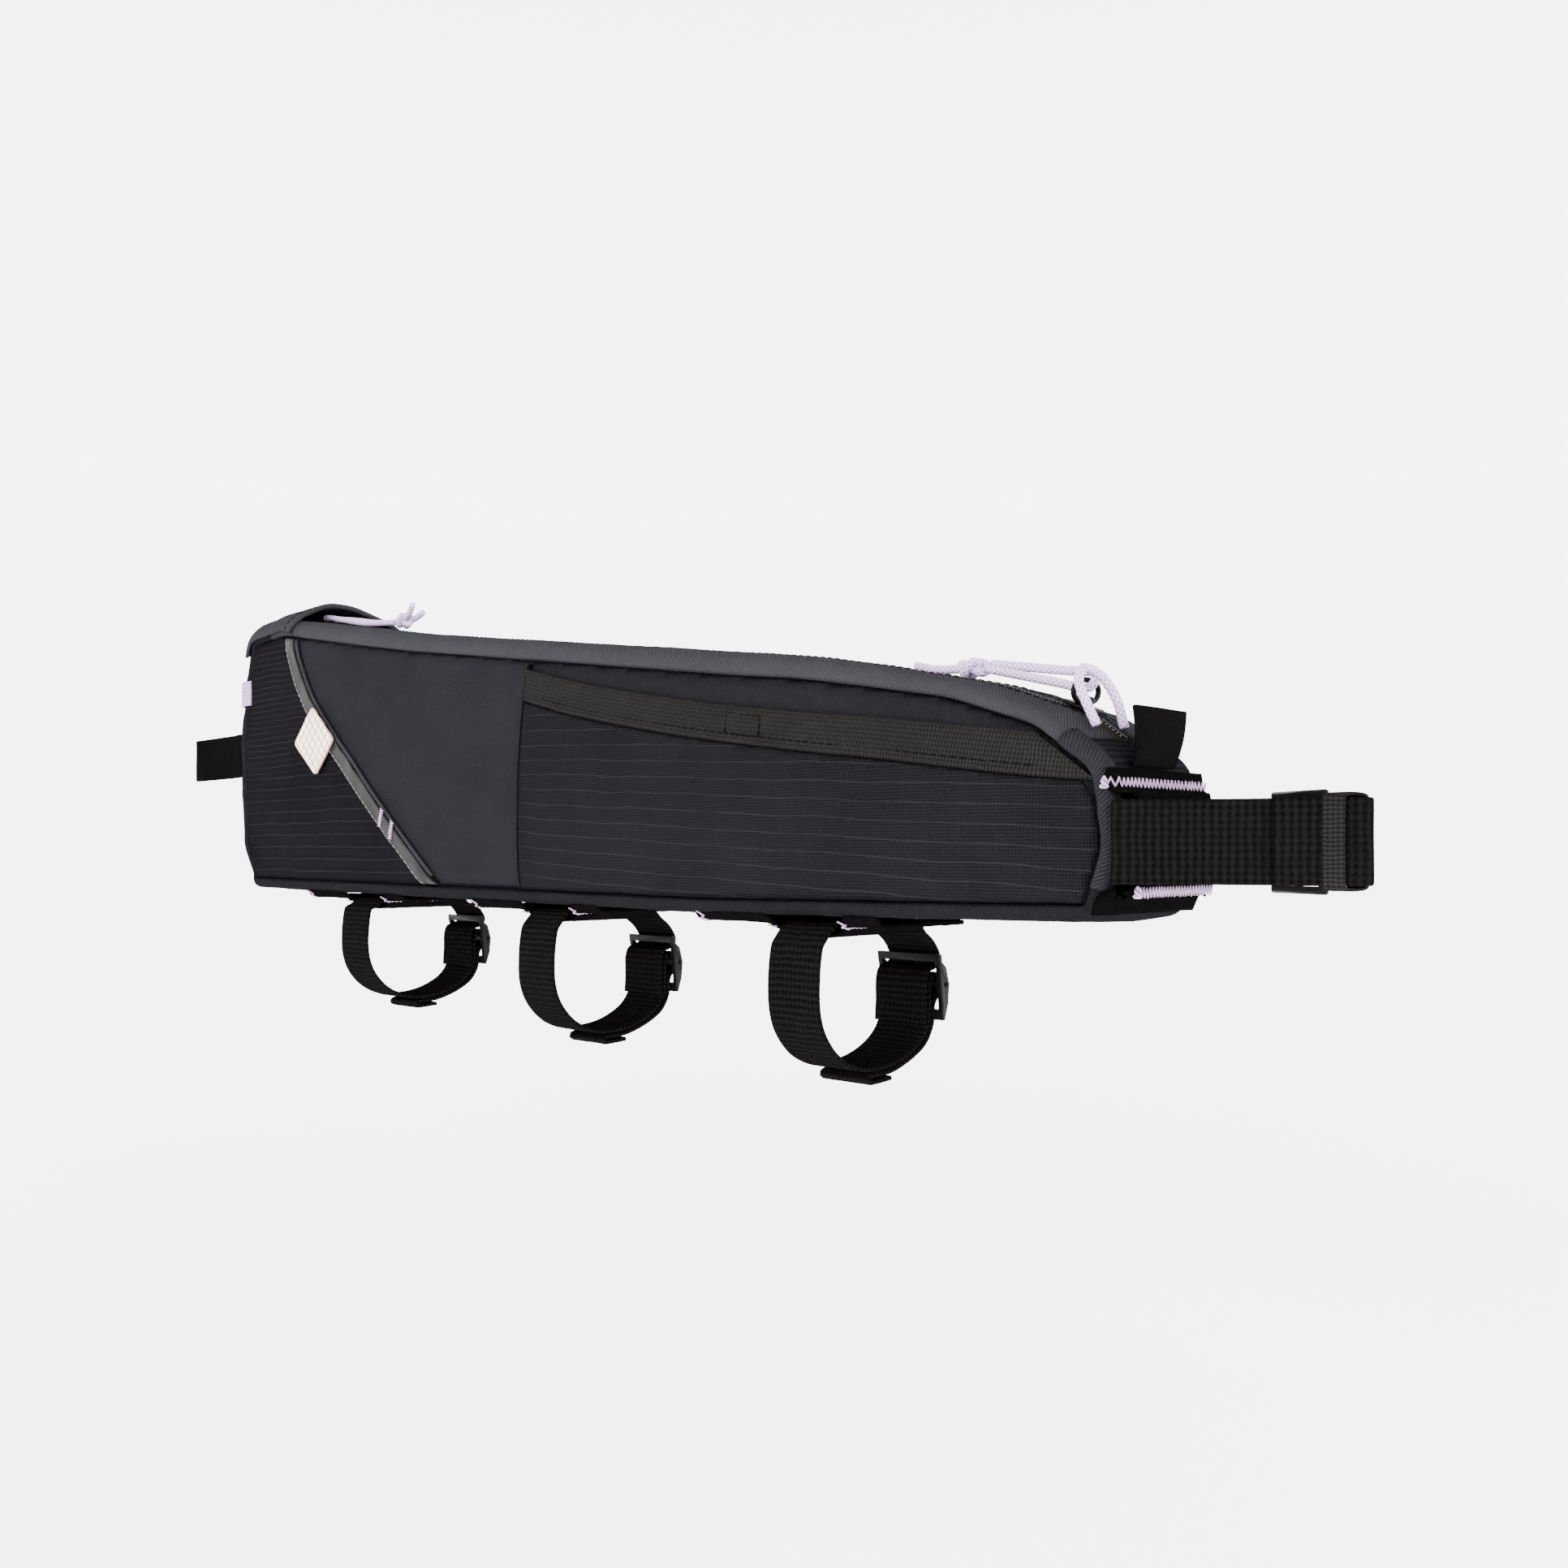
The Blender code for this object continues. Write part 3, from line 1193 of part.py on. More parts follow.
def main():
    """Build every piece of the bag."""
    remove_all()
    group = new_collection("top_tube_bag")
    cutters = new_collection("cutters", hidden=True)
    bag = Bag()
    build_shell(bag, group)
    build_side(bag, group)
    build_hood(bag, group)
    build_cords(bag, group, cutters)
    build_loops(bag, group, cutters)
    build_front(bag, group, cutters)
    build_rear(bag, group)


main()
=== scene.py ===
"""Dressed top tube bag: fine cloth, tapes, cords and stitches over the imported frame.

Lengths in the tables are the bag's own millimetres: x from the rear lower corner
towards the front, y across the bag, z up.  `place` turns them into the frame.
"""

import bisect
import logging
import math
from dataclasses import dataclass, field
from enum import Enum
from functools import lru_cache
from typing import Callable, Iterable, Optional, Sequence, Union

import bmesh
import bpy
from mathutils import Matrix, Vector, noise


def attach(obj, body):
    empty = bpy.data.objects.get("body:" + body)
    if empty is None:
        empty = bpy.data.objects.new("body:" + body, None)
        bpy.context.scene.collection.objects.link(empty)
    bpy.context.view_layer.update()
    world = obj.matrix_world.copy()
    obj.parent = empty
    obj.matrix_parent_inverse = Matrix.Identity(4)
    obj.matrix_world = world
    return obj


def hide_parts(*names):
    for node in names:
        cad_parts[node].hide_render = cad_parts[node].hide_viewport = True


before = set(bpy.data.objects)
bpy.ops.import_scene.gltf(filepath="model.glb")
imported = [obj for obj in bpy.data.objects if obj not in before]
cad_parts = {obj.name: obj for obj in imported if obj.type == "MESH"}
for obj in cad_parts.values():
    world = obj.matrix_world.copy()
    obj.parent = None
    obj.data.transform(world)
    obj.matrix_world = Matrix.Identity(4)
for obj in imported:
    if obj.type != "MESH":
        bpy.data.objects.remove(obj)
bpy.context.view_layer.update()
LOG = logging.getLogger("top_tube_bag")

MM = 0.001
SEAT_X = 210.0
HALF_WIDTH = 27.0
WALL = 1.5
WEBBING = 1.4
VELOUR = 1.3
TAPE = 0.9
CORD = 2.5
SEAM_X = 198.6
SEAM_LEAN = 0.065
CROWN = 0.7
MOUTH_HALF = 5.5
Point2 = tuple[float, float]
Point3 = tuple[float, float, float]
Colour = tuple[float, float, float]

OUTLINE: tuple[Point3, ...] = (
    (-7.0, -0.6, 8.0), (-18.0, 17.0, 22.0), (-22.3, 45.0, 70.0), (-18.8, 80.0, 80.0),
    (-10.5, 114.5, 13.0), (22.0, 117.0, 25.0), (120.0, 101.0, 300.0), (330.0, 72.3, 300.0),
    (385.0, 60.5, 60.0), (412.0, 51.0, 30.0), (430.0, 37.5, 12.0), (433.3, 17.0, 16.0),
    (427.0, -1.6, 6.0), (290.0, -3.2, 500.0),
)
DIAGONAL: tuple[Point2, ...] = (
    (33.0, 111.0), (40.7, 96.5), (50.5, 83.0), (62.2, 71.8), (95.6, 44.6), (116.8, 27.6),
    (142.9, 6.4), (152.0, 0.4),
)
DIAMOND: tuple[Point2, ...] = ((59.0, 76.0), (77.3, 61.4), (61.7, 46.8), (42.6, 61.0))
MOUTH: tuple[Point2, ...] = (
    (190.0, 76.6), (206.0, 72.7), (235.0, 65.9), (287.5, 56.4), (335.4, 49.6),
    (363.6, 46.2), (414.0, 39.6), (436.0, 37.6),
)
LOOPS: tuple[tuple[str, float, float], ...] = (
    ("rear", 88.0, 46.5), ("middle", 210.0, 50.0), ("front", 332.0, 50.4),
)
LOOP_DROP = 50.0
LOOP_PATH: tuple[Point2, ...] = (
    (18.9, -36.4), (19.3, -30.0), (19.4, -23.4), (20.6, -20.4), (23.2, -19.5), (25.4, -18.7),
    (26.2, -16.4), (24.6, -13.5), (21.6, -10.0), (18.9, -5.4), (15.2, -1.6), (9.0, -1.3),
    (-14.0, -1.3), (-20.5, -1.5), (-24.9, -4.4), (-27.4, -11.0), (-28.7, -22.0),
    (-28.2, -30.0), (-25.6, -36.6), (-19.0, -43.4), (-9.0, -47.2), (3.0, -47.0),
    (12.6, -43.9), (18.0, -40.2), (20.8, -35.8), (21.4, -30.5), (21.4, -25.6),
    (22.4, -22.6), (24.6, -21.5), (26.6, -22.7), (27.0, -24.8), (26.4, -27.2),
    (24.6, -28.8), (23.3, -31.2), (23.2, -34.6), (22.4, -37.6), (19.3, -42.0),
    (13.2, -45.6), (3.4, -48.8), (-4.4, -49.3),
)
FRONT_PATH: tuple[Point2, ...] = (
    (440.2, 22.2), (436.8, 22.2), (435.1, 19.8),
    (434.9, 15.0), (434.9, -10.0), (434.6, -22.0), (434.3, -26.4), (436.0, -28.2),
    (440.2, -25.6), (446.4, -20.2), (454.0, -15.2), (466.0, -10.2), (478.0, -5.6),
    (482.4, -2.4), (480.2, 1.0),
)
FRONT_SEWN: tuple[Point2, ...] = (
    (-17.0, -2.2), (-11.0, -2.5), (-7.4, -2.1), (-6.1, -0.4), (-6.6, 1.5), (-8.6, 2.3),
    (-12.0, 1.8), (-18.0, 0.2),
)
FRONT_THREADED: tuple[Point2, ...] = (
    (12.0, -4.0), (4.0, -4.1), (-0.6, -3.5), (-2.8, -2.0), (-3.2, 0.2), (-2.2, 2.0),
    (0.0, 2.6), (2.6, 2.0), (4.2, 0.2), (6.2, -1.7), (8.6, -2.2), (12.0, -2.2),
)
FRONT_RETURN: tuple[Point2, ...] = ((481.6, 2.6), (484.6, -2.6), (479.2, -7.4), (466.8, -12.2))
FRONT_BUCKLE = (461.5, 13.0, -25.0)
FRONT_STRAP_Z = 17.9
REAR_PATH: tuple[Point2, ...] = (
    (-81.6, -18.4), (-60.0, -19.0), (-36.0, -20.6), (-27.4, -21.8), (-23.8, -19.4),
    (-23.5, -12.0), (-23.5, 12.0), (-23.8, 19.4), (-27.4, 21.8), (-36.0, 20.6),
    (-60.0, 19.0), (-78.0, 18.4),
)
REAR_STRAP_Z = 59.6
REAR_COVER_X = -25.6
FRONT_PATCH: tuple[tuple[float, float, float, float], ...] = (
    (429.6, 0.4, -25.6, 19.0), (431.6, 4.6, -25.6, 19.0), (436.7, 6.0, -21.0, 15.0),
    (437.1, 18.0, -21.0, 15.0), (436.7, 29.8, -21.0, 15.0), (433.0, 31.4, -25.4, 19.0),
    (432.0, 35.8, -24.4, 19.0),
)
LIGHT_LOOP: tuple[Point2, ...] = (
    (-4.5, -27.9), (-9.6, -27.8), (-13.4, -27.4), (-17.6, -25.2), (-19.6, -21.0), (-20.6, -12.0),
    (-21.2, 0.0), (-20.6, 12.0), (-19.6, 21.0), (-17.6, 25.2), (-13.4, 27.4), (-9.6, 27.8),
    (-4.5, 27.9),
)
LIGHT_LOOP_Z = 86.5
LABEL_TALL = 15.7
PHOTO_SIDE = 1932.0
FOCAL_PIXELS = 1760.0
EYE_LEVEL_ROW = 1048.0
SENSOR = 36.0
CAMERA_AT: Point3 = (0.4021, -0.3226, 0.0159)
CAMERA_WAY: Point3 = (-0.6947, 0.7193, 0.0)


# Measures and curves.
def place(x: float, y: float, z: float) -> Vector:
    """Bag millimetres to metres in the frame."""
    return Vector(((x - SEAT_X) * MM, y * MM, z * MM))


def on_bag(spot: Vector) -> Vector:
    """Metres of the frame back to bag millimetres."""
    return Vector((spot.x / MM + SEAT_X, spot.y / MM, spot.z / MM))


def smoothstep(value: float) -> float:
    """Smooth ramp from 0 to 1."""
    clamped = min(max(value, 0.0), 1.0)
    return clamped * clamped * (3.0 - 2.0 * clamped)


def grain(x: float, y: float, z: float = 0.0) -> float:
    """Fixed smooth noise from about -1 to 1."""
    return noise.noise(Vector((x, y, z)))


def spread(start: float, end: float, count: int) -> list[float]:
    """Evenly spaced numbers from start to end, both included."""
    return [start + (end - start) * index / (count - 1) for index in range(count)]


def catmull(p0: Vector, p1: Vector, p2: Vector, p3: Vector, t: float) -> Vector:
    """Centripetal Catmull-Rom point.

    Args:
        p0, p1, p2, p3: Neighbouring points of the curve.
        t: Share of the way from p1 to p2.

    Returns:
        The point on the curve.
    """
    t1 = math.sqrt(max((p1 - p0).length, 1e-6))
    t2 = t1 + math.sqrt(max((p2 - p1).length, 1e-6))
    t3 = t2 + math.sqrt(max((p3 - p2).length, 1e-6))
    at = t1 + (t2 - t1) * t
    a1 = p0 * ((t1 - at) / t1) + p1 * (at / t1)
    a2 = p1 * ((t2 - at) / (t2 - t1)) + p2 * ((at - t1) / (t2 - t1))
    a3 = p2 * ((t3 - at) / (t3 - t2)) + p3 * ((at - t2) / (t3 - t2))
    b1 = a1 * ((t2 - at) / t2) + a2 * (at / t2)
    b2 = a2 * ((t3 - at) / (t3 - t1)) + a3 * ((at - t1) / (t3 - t1))
    return b1 * ((t2 - at) / (t2 - t1)) + b2 * ((at - t1) / (t2 - t1))


def smooth_curve(rows: Iterable[Sequence[float]], step: float,
                 closed: bool = False) -> list[Vector]:
    """Evenly spaced points on a smooth curve.

    Args:
        rows: Points that the curve passes, in two or three dimensions.
        step: Wanted distance between the points.
        closed: True where the curve runs back to its first point.

    Returns:
        The points; a closed curve ends on its first point.
    """
    knots = [Vector(row) for row in rows]
    if closed:
        ends = [knots[-1]] + knots + knots[:2]
    else:
        ends = [2 * knots[0] - knots[1]] + knots + [2 * knots[-1] - knots[-2]]
    fine = []
    for p0, p1, p2, p3 in zip(ends, ends[1:], ends[2:], ends[3:]):
        steps = max(int((p2 - p1).length / step * 4), 6)
        fine += [catmull(p0, p1, p2, p3, part / steps) for part in range(steps)]
    fine.append(ends[-2])
    return even(fine, step)


def level_curve(rows: Iterable[Point2], z: float, step: float) -> list[Vector]:
    """Smooth curve through x and y rows at one height."""
    return [Vector((spot.x, spot.y, z)) for spot in smooth_curve(rows, step)]


def even(fine: Sequence[Vector], step: float) -> list[Vector]:
    """Points at even distances along a polyline.

    Args:
        fine: The polyline.
        step: Wanted distance.

    Returns:
        Points from its first to its last one.
    """
    runs = [0.0]
    for here, ahead in zip(fine, fine[1:]):
        runs.append(runs[-1] + (ahead - here).length)
    count = max(int(round(runs[-1] / step)), 2)
    points = []
    for index in range(count + 1):
        goal = runs[-1] * index / count
        low = min(max(bisect.bisect_right(runs, goal) - 1, 0), len(fine) - 2)
        share = (goal - runs[low]) / max(runs[low + 1] - runs[low], 1e-9)
        points.append(fine[low].lerp(fine[low + 1], share))
    return points


def run_lengths(points: Sequence[Vector]) -> list[float]:
    """Running length at each point of a polyline."""
    runs = [0.0]
    for here, ahead in zip(points, points[1:]):
        runs.append(runs[-1] + (ahead - here).length)
    return runs


def heading(points: Sequence[Vector], index: int, closed: bool = False) -> Vector:
    """Direction of a polyline at one of its points."""
    last = len(points) - 1
    before = points[index - 1] if index else points[last - 1 if closed else 0]
    after = points[index + 1] if index < last else points[1 if closed else last]
    return (after - before).normalized()


def across_run(points: Sequence[Vector], index: int) -> Vector:
    """Direction square to a flat polyline at one of its points."""
    run = heading(points, index)
    return Vector((-run.y, run.x))


# Form of the bag.
class Outline:
    """Closed side outline with rounded corners, read by its running length."""

    def __init__(self, rows: Sequence[Point3]) -> None:
        """Round the corners.

        Args:
            rows: Corner x, corner z and radius of each corner.
        """
        corners = [Vector(row[:2]) for row in rows]
        self.points: list[Vector] = []
        for index, row in enumerate(rows):
            corner = corners[index]
            back = (corners[index - 1] - corner).normalized()
            ahead = (corners[(index + 1) % len(rows)] - corner).normalized()
            half = back.angle(ahead) / 2.0
            centre = corner + (back + ahead).normalized() * row[2] / math.sin(half)
            start = corner + back * row[2] / math.tan(half)
            end = corner + ahead * row[2] / math.tan(half)
            sweep = (start - centre).angle_signed(end - centre)
            steps = max(int(abs(math.degrees(sweep)) / 2.0), 2)
            for step in range(steps + 1):
                spoke = start - centre
                spoke.rotate(Matrix.Rotation(-sweep * step / steps, 2))
                self.points.append(centre + spoke)
        self.lengths = run_lengths(self.points + self.points[:1])
        self.total = self.lengths[-1]

    def at(self, length: float) -> Vector:
        """Point at a running length."""
        length = length % self.total
        low = min(bisect.bisect_right(self.lengths, length) - 1, len(self.points) - 1)
        ahead = self.points[(low + 1) % len(self.points)]
        share = (length - self.lengths[low]) / (self.lengths[low + 1] - self.lengths[low])
        return self.points[low].lerp(ahead, share)

    def outward(self, length: float, reach: float = 1.5) -> Vector:
        """Outward direction, averaged over a short run."""
        run = self.at(length + reach) - self.at(length - reach)
        return Vector((-run.y, run.x)).normalized()

    def length_near(self, x: float, z: float) -> float:
        """Running length of the outline point nearest to (x, z)."""
        goal = Vector((x, z))
        best = min(range(len(self.points)), key=lambda i: (self.points[i] - goal).length)
        low = self.lengths[best] - 25.0
        tries = [low + 0.1 * step for step in range(500)]
        return min(tries, key=lambda value: (self.at(value) - goal).length)

    def stations(self, start: float, end: float, longest: float) -> list[float]:
        """Running lengths from start to end, closer together in bends."""
        kept, facing, value = [start], self.outward(start), start + 0.25
        while value < end - 0.4:
            normal = self.outward(value)
            run = value - kept[-1]
            if run > longest or (facing.angle(normal, 0.0) > 0.12 and run > 0.6):
                kept.append(value)
                facing = normal
            value += 0.25
        return kept + [end]


def half_width(x: float, side: int = -1) -> float:
    """Half of the bag's width, less at the front end; -1 is the near side."""
    start, length, end = (340.0, 90.0, 20.6) if side > 0 else (370.0, 60.0, 24.5)
    return HALF_WIDTH + (end - HALF_WIDTH) * smoothstep((x - start) / length)


def seam_x(z: float) -> float:
    """x of the upright seam at a height."""
    return SEAM_X + SEAM_LEAN * z


def crossings(loop: Sequence[Vector], x: float) -> list[float]:
    """Heights where a closed loop crosses x."""
    return [here.y + (ahead.y - here.y) * (x - here.x) / (ahead.x - here.x)
            for here, ahead in zip(loop, list(loop[1:]) + [loop[0]])
            if (here.x - x) * (ahead.x - x) <= 0.0 and here.x != ahead.x]


class BagForm:
    """Shared geometry of the soft body."""

    def __init__(self) -> None:
        """Find the seams on the outline."""
        self.outline = Outline(OUTLINE)
        near = self.outline.length_near
        self.rear_top = near(12.0, 112.5)
        self.shoulder = near(422.5, 44.2)
        self.front_low = near(429.4, 8.2)
        self.total = self.outline.total
        ring = self.outline.stations(self.rear_top, self.rear_top + self.total, 5.0)[:-1]
        self.seam = [self.seam_point(value, 0.3) for value in ring]

    def seam_depth(self, length: float) -> float:
        """How far the side seam lies in from the outline."""
        normal = self.outline.outward(length, 6.0)
        rise = 3.0 * smoothstep((self.outline.at(length).x - 300.0) / 110.0)
        return ((7.4 - rise) * max(normal.y, 0.0) ** 2 + 4.3 * max(-normal.y, 0.0) ** 2
                + 9.5 * max(-normal.x, 0.0) ** 2 + 3.4 * max(normal.x, 0.0) ** 2)

    def seam_point(self, length: float, extra: float = 0.0) -> Vector:
        """Point on the side seam in the x-z plane."""
        normal = self.outline.outward(length)
        return self.outline.at(length) - normal * (self.seam_depth(length) + extra)

    def underside(self, x: float) -> float:
        """Height of the bottom edge of the outline at x."""
        return min(crossings(self.outline.points, x))

    @lru_cache(maxsize=4096)
    def seam_span(self, x: float) -> tuple[float, float]:
        """Lower and upper seam height at x."""
        heights = crossings(self.seam, x)
        return (min(heights), max(heights)) if len(heights) > 1 else (40.0, 40.0)

    def edge_distance(self, x: float, z: float) -> float:
        """Distance from (x, z) to the side seam."""
        best = 1e9
        for here, ahead in zip(self.seam, self.seam[1:] + self.seam[:1]):
            if abs(here.x - x) + abs(here.y - z) > best + 14.0:
                continue
            run = ahead - here
            gap_x, gap_z = x - here.x, z - here.y
            share = min(max((gap_x * run.x + gap_z * run.y) / run.length_squared, 0.0), 1.0)
            gap = math.hypot(gap_x - run.x * share, gap_z - run.y * share)
            best = min(best, gap)
        return best

    def seam_plane(self, x: float, z: float) -> tuple[Vector, Vector]:
        """Plane just inside the side seam nearest to (x, z), for trimming a tape."""
        goal = Vector((x, z))
        pairs = list(zip(self.seam, self.seam[1:] + self.seam[:1]))
        here, ahead = min(pairs, key=lambda pair: ((pair[0] + pair[1]) / 2.0 - goal).length)
        run = (ahead - here).normalized()
        point = here - Vector((-run.y, run.x)) * 0.6
        return place(point.x, 0.0, point.y), Vector((-run.y, 0.0, run.x))

    def bulge(self, x: float, z: float) -> float:
        """How far the side wall stands out from the plane of its seam."""
        low, high = self.seam_span(round(x, 2))
        if high - low < 1.0:
            return 0.0
        share = min(max((z - low) / (high - low), 0.0), 1.0)
        ends = smoothstep((x + 8.0) / 60.0) * smoothstep((426.0 - x) / 30.0)
        swell = (4.0 * share * (1.0 - share)) ** 0.8
        rise = (1.9 + 1.1 * smoothstep((x - 40.0) / 100.0)) * swell
        lower = smoothstep((x - 200.0) / 60.0) * math.sin(math.pi * share ** 0.8) ** 1.5
        rise += 1.9 * lower
        dent = math.exp(-((x - 184.0) / 9.0) ** 2) * smoothstep((z - 25.0) / 40.0)
        rise -= 1.0 * dent * swell
        rise -= 0.6 * math.exp(-((x - seam_x(z)) / 5.0) ** 2) * swell
        ripple = 0.3 * math.sin(x / 11.0 + 1.4 * share) * smoothstep((x - 230.0) / 60.0)
        return max((rise + ripple * swell) * ends, 0.0)

    def creases(self, x: float, z: float, side: int) -> float:
        """Soft folds of the sewn cloth, in millimetres."""
        near = math.exp(-self.edge_distance(x, z) / 7.0)
        gathers = 0.55 * grain(x / 5.2, z / 5.2, side) * near
        soft = 0.42 * grain(x / 31.0 + 3.0, z / 21.0, side + 2.0)
        slack = 0.38 * smoothstep((x - 225.0) / 40.0)
        slack *= grain(x / 13.0 + 0.5 * z / 13.0, z / 30.0, 5.0)
        return gathers + soft + slack

    def side_point(self, x: float, z: float, lift: float, side: int = -1) -> Vector:
        """Point on the dressed side wall, lift above its cloth."""
        rolled = 1.5 * math.exp(-(self.edge_distance(x, z) / 1.1) ** 1.4)
        out = half_width(x, side) - 0.5 + self.bulge(x, z) + lift
        return place(x, side * (out + self.creases(x, z, side) - rolled), z)


# Shader expressions.
class Value:
    """A number that varies over a surface, written like a plain number."""

    def __init__(self, graph: "Graph", socket: bpy.types.NodeSocket) -> None:
        """Wrap a socket of a shader graph."""
        self.graph = graph
        self.socket = socket

    def _do(self, operation: str, *others: Union["Value", float]) -> "Value":
        """Add one Math node with this value first."""
        return self.graph.math(operation, self, *others)

    def __add__(self, other: Union["Value", float]) -> "Value":
        """Sum."""
        return self._do("ADD", other)

    __radd__ = __add__

    def __mul__(self, other: Union["Value", float]) -> "Value":
        """Product."""
        return self._do("MULTIPLY", other)

    __rmul__ = __mul__

    def __sub__(self, other: Union["Value", float]) -> "Value":
        """Difference."""
        return self._do("SUBTRACT", other)

    def __rsub__(self, other: Union["Value", float]) -> "Value":
        """Reflected difference, such as 1 - mask."""
        return self.graph.math("SUBTRACT", other, self)

    def __truediv__(self, other: Union["Value", float]) -> "Value":
        """Quotient."""
        return self._do("DIVIDE", other)

    def __pow__(self, other: Union["Value", float]) -> "Value":
        """Power."""
        return self._do("POWER", other)

    def wave(self, pitch: float) -> "Value":
        """Ribs of a pitch in metres, from 0 to 1."""
        return (self * (math.tau / pitch))._do("SINE") * 0.5 + 0.5

    def lines(self, pitch: float, width: float) -> "Value":
        """Mask of thin lines that repeat at a pitch, both in metres."""
        phase = (self / pitch)._do("FRACT") - 0.5
        return 1.0 - phase._do("ABSOLUTE").ramp(0.5 * width / pitch * 0.6, 0.5 * width / pitch)

    def ramp(self, low: float, high: float) -> "Value":
        """Smooth step of the value between two limits."""
        node = self.graph.node("ShaderNodeMapRange", {"interpolation_type": "SMOOTHSTEP"},
                               {"Value": self, "From Min": low, "From Max": high})
        return Value(self.graph, node.outputs["Result"])

    def largest(self, other: Union["Value", float]) -> "Value":
        """The larger of two."""
        return self._do("MAXIMUM", other)


class Graph:
    """Shader graph of one finish around its Principled shader."""

    def __init__(self, name: str, pattern: bool = True) -> None:
        """Start a material.

        Args:
            name: Name of the material.
            pattern: True to read the piece's own UV map, in metres, False for Object
                coordinates.
        """
        self.material = bpy.data.materials.new(name)
        self.material.use_nodes = True
        self.tree = self.material.node_tree
        self.shader = self.tree.nodes["Principled BSDF"]
        coords = self.node("ShaderNodeTexCoord")
        self.object_vector = coords.outputs["Object"]
        self.vector = coords.outputs["UV"] if pattern else self.object_vector
        split = self.node("ShaderNodeSeparateXYZ", inputs={"Vector": self.vector})
        self.u = Value(self, split.outputs["X"])
        self.v = Value(self, split.outputs["Y"])

    def node(self, kind: str, settings: Optional[dict] = None,
             inputs: Optional[dict] = None) -> bpy.types.ShaderNode:
        """Add any node.

        Args:
            kind: Type of the node.
            settings: Properties, set first.
            inputs: Values or links of its sockets, by name or number.

        Returns:
            The node.
        """
        made = self.tree.nodes.new(kind)
        for key, value in (settings or {}).items():
            setattr(made, key, value)
        for key, value in (inputs or {}).items():
            socket = value.socket if isinstance(value, Value) else value
            if isinstance(socket, bpy.types.NodeSocket):
                self.tree.links.new(socket, made.inputs[key])
            else:
                made.inputs[key].default_value = socket
        return made

    def math(self, operation: str, *values: Union[Value, float]) -> Value:
        """One Math node as a value."""
        node = self.node("ShaderNodeMath", {"operation": operation}, dict(enumerate(values)))
        return Value(self, node.outputs["Value"])

    def noise(self, scale: float, detail: float = 2.0, stretch: Point3 = (1.0, 1.0, 1.0),
              solid: bool = True) -> Value:
        """Noise over the piece.

        Args:
            scale: Bumps a metre.
            detail: Octaves.
            stretch: Factors on the coordinates.
            solid: True to read Object coordinates.

        Returns:
            Noise from 0 to 1.
        """
        source = self.object_vector if solid else self.vector
        moved = self.node("ShaderNodeMapping", inputs={"Vector": source, "Scale": stretch})
        node = self.node("ShaderNodeTexNoise", {"noise_dimensions": "3D"},
                         {"Vector": moved.outputs["Vector"], "Scale": scale, "Detail": detail})
        return Value(self, node.outputs[0])

    def mix(self, factor: Value, first: object, second: object) -> bpy.types.NodeSocket:
        """Blend two colours.

        Args:
            factor: Share of the second.
            first: Colour or socket.
            second: Colour or socket.

        Returns:
            The blended colour's socket.
        """
        def full(colour: object) -> object:
            """Colour with its alpha."""
            return (*colour, 1.0) if isinstance(colour, tuple) else colour
        node = self.node("ShaderNodeMix", {"data_type": "RGBA"},
                         {0: factor, 6: full(first), 7: full(second)})
        return node.outputs[2]

    def finish(self, colour: object, roughness: Union[Value, float], height: Optional[Value] = None,
               depth: float = 0.0002, **fixed: object) -> bpy.types.Material:
        """Feed the shader.

        Args:
            colour: Colour or its socket.
            roughness: Roughness or its value.
            height: Relief from 0 to 1.
            depth: Metres of relief.
            fixed: Other sockets of the shader that stay the same all over, by name with
                underscores.

        Returns:
            The material.
        """
        def feed(name: str, value: object) -> None:
            """Link or set one socket of the shader."""
            socket = value.socket if isinstance(value, Value) else value
            if isinstance(socket, bpy.types.NodeSocket):
                self.tree.links.new(socket, self.shader.inputs[name])
            else:
                self.shader.inputs[name].default_value = socket
        feed("Base Color", (*colour, 1.0) if isinstance(colour, tuple) else colour)
        feed("Roughness", roughness)
        for name, value in fixed.items():
            feed(name.replace("_", " "), value)
        if height is not None:
            bump = self.node("ShaderNodeBump", inputs={"Height": height, "Distance": depth,
                                                       "Strength": 1.0})
            self.tree.links.new(bump.outputs["Normal"], self.shader.inputs["Normal"])
        return self.material


def shade(colour: Colour, factor: float) -> Colour:
    """A colour made lighter or darker."""
    return tuple(min(channel * factor, 1.0) for channel in colour)


@dataclass(frozen=True)
class Twill:
    """Cloth with slanting ridges."""

    name: str
    colour: Colour
    pitch: float = 0.0011
    depth: float = 0.00012
    roughness: float = 0.78

    def build(self) -> bpy.types.Material:
        """Make the material."""
        g = Graph(self.name)
        drift = g.noise(420.0, 1.0) * 0.0003
        ridge = (g.u + g.v * 0.9 + drift).wave(self.pitch)
        cross = (g.u - g.v * 0.7).wave(self.pitch * 0.62)
        soft = g.noise(34.0, 3.0)
        fibre = g.noise(2400.0, 2.0)
        height = ridge * 0.6 + cross * 0.25 + fibre * 0.35
        tone = ridge * 0.5 + cross * 0.2 + fibre * 0.35 + soft * 0.3 - 0.15
        colour = g.mix(tone, shade(self.colour, 0.4), shade(self.colour, 1.8))
        return g.finish(colour, self.roughness + (fibre - 0.5) * 0.15, height, self.depth,
                        Specular_IOR_Level=0.0)


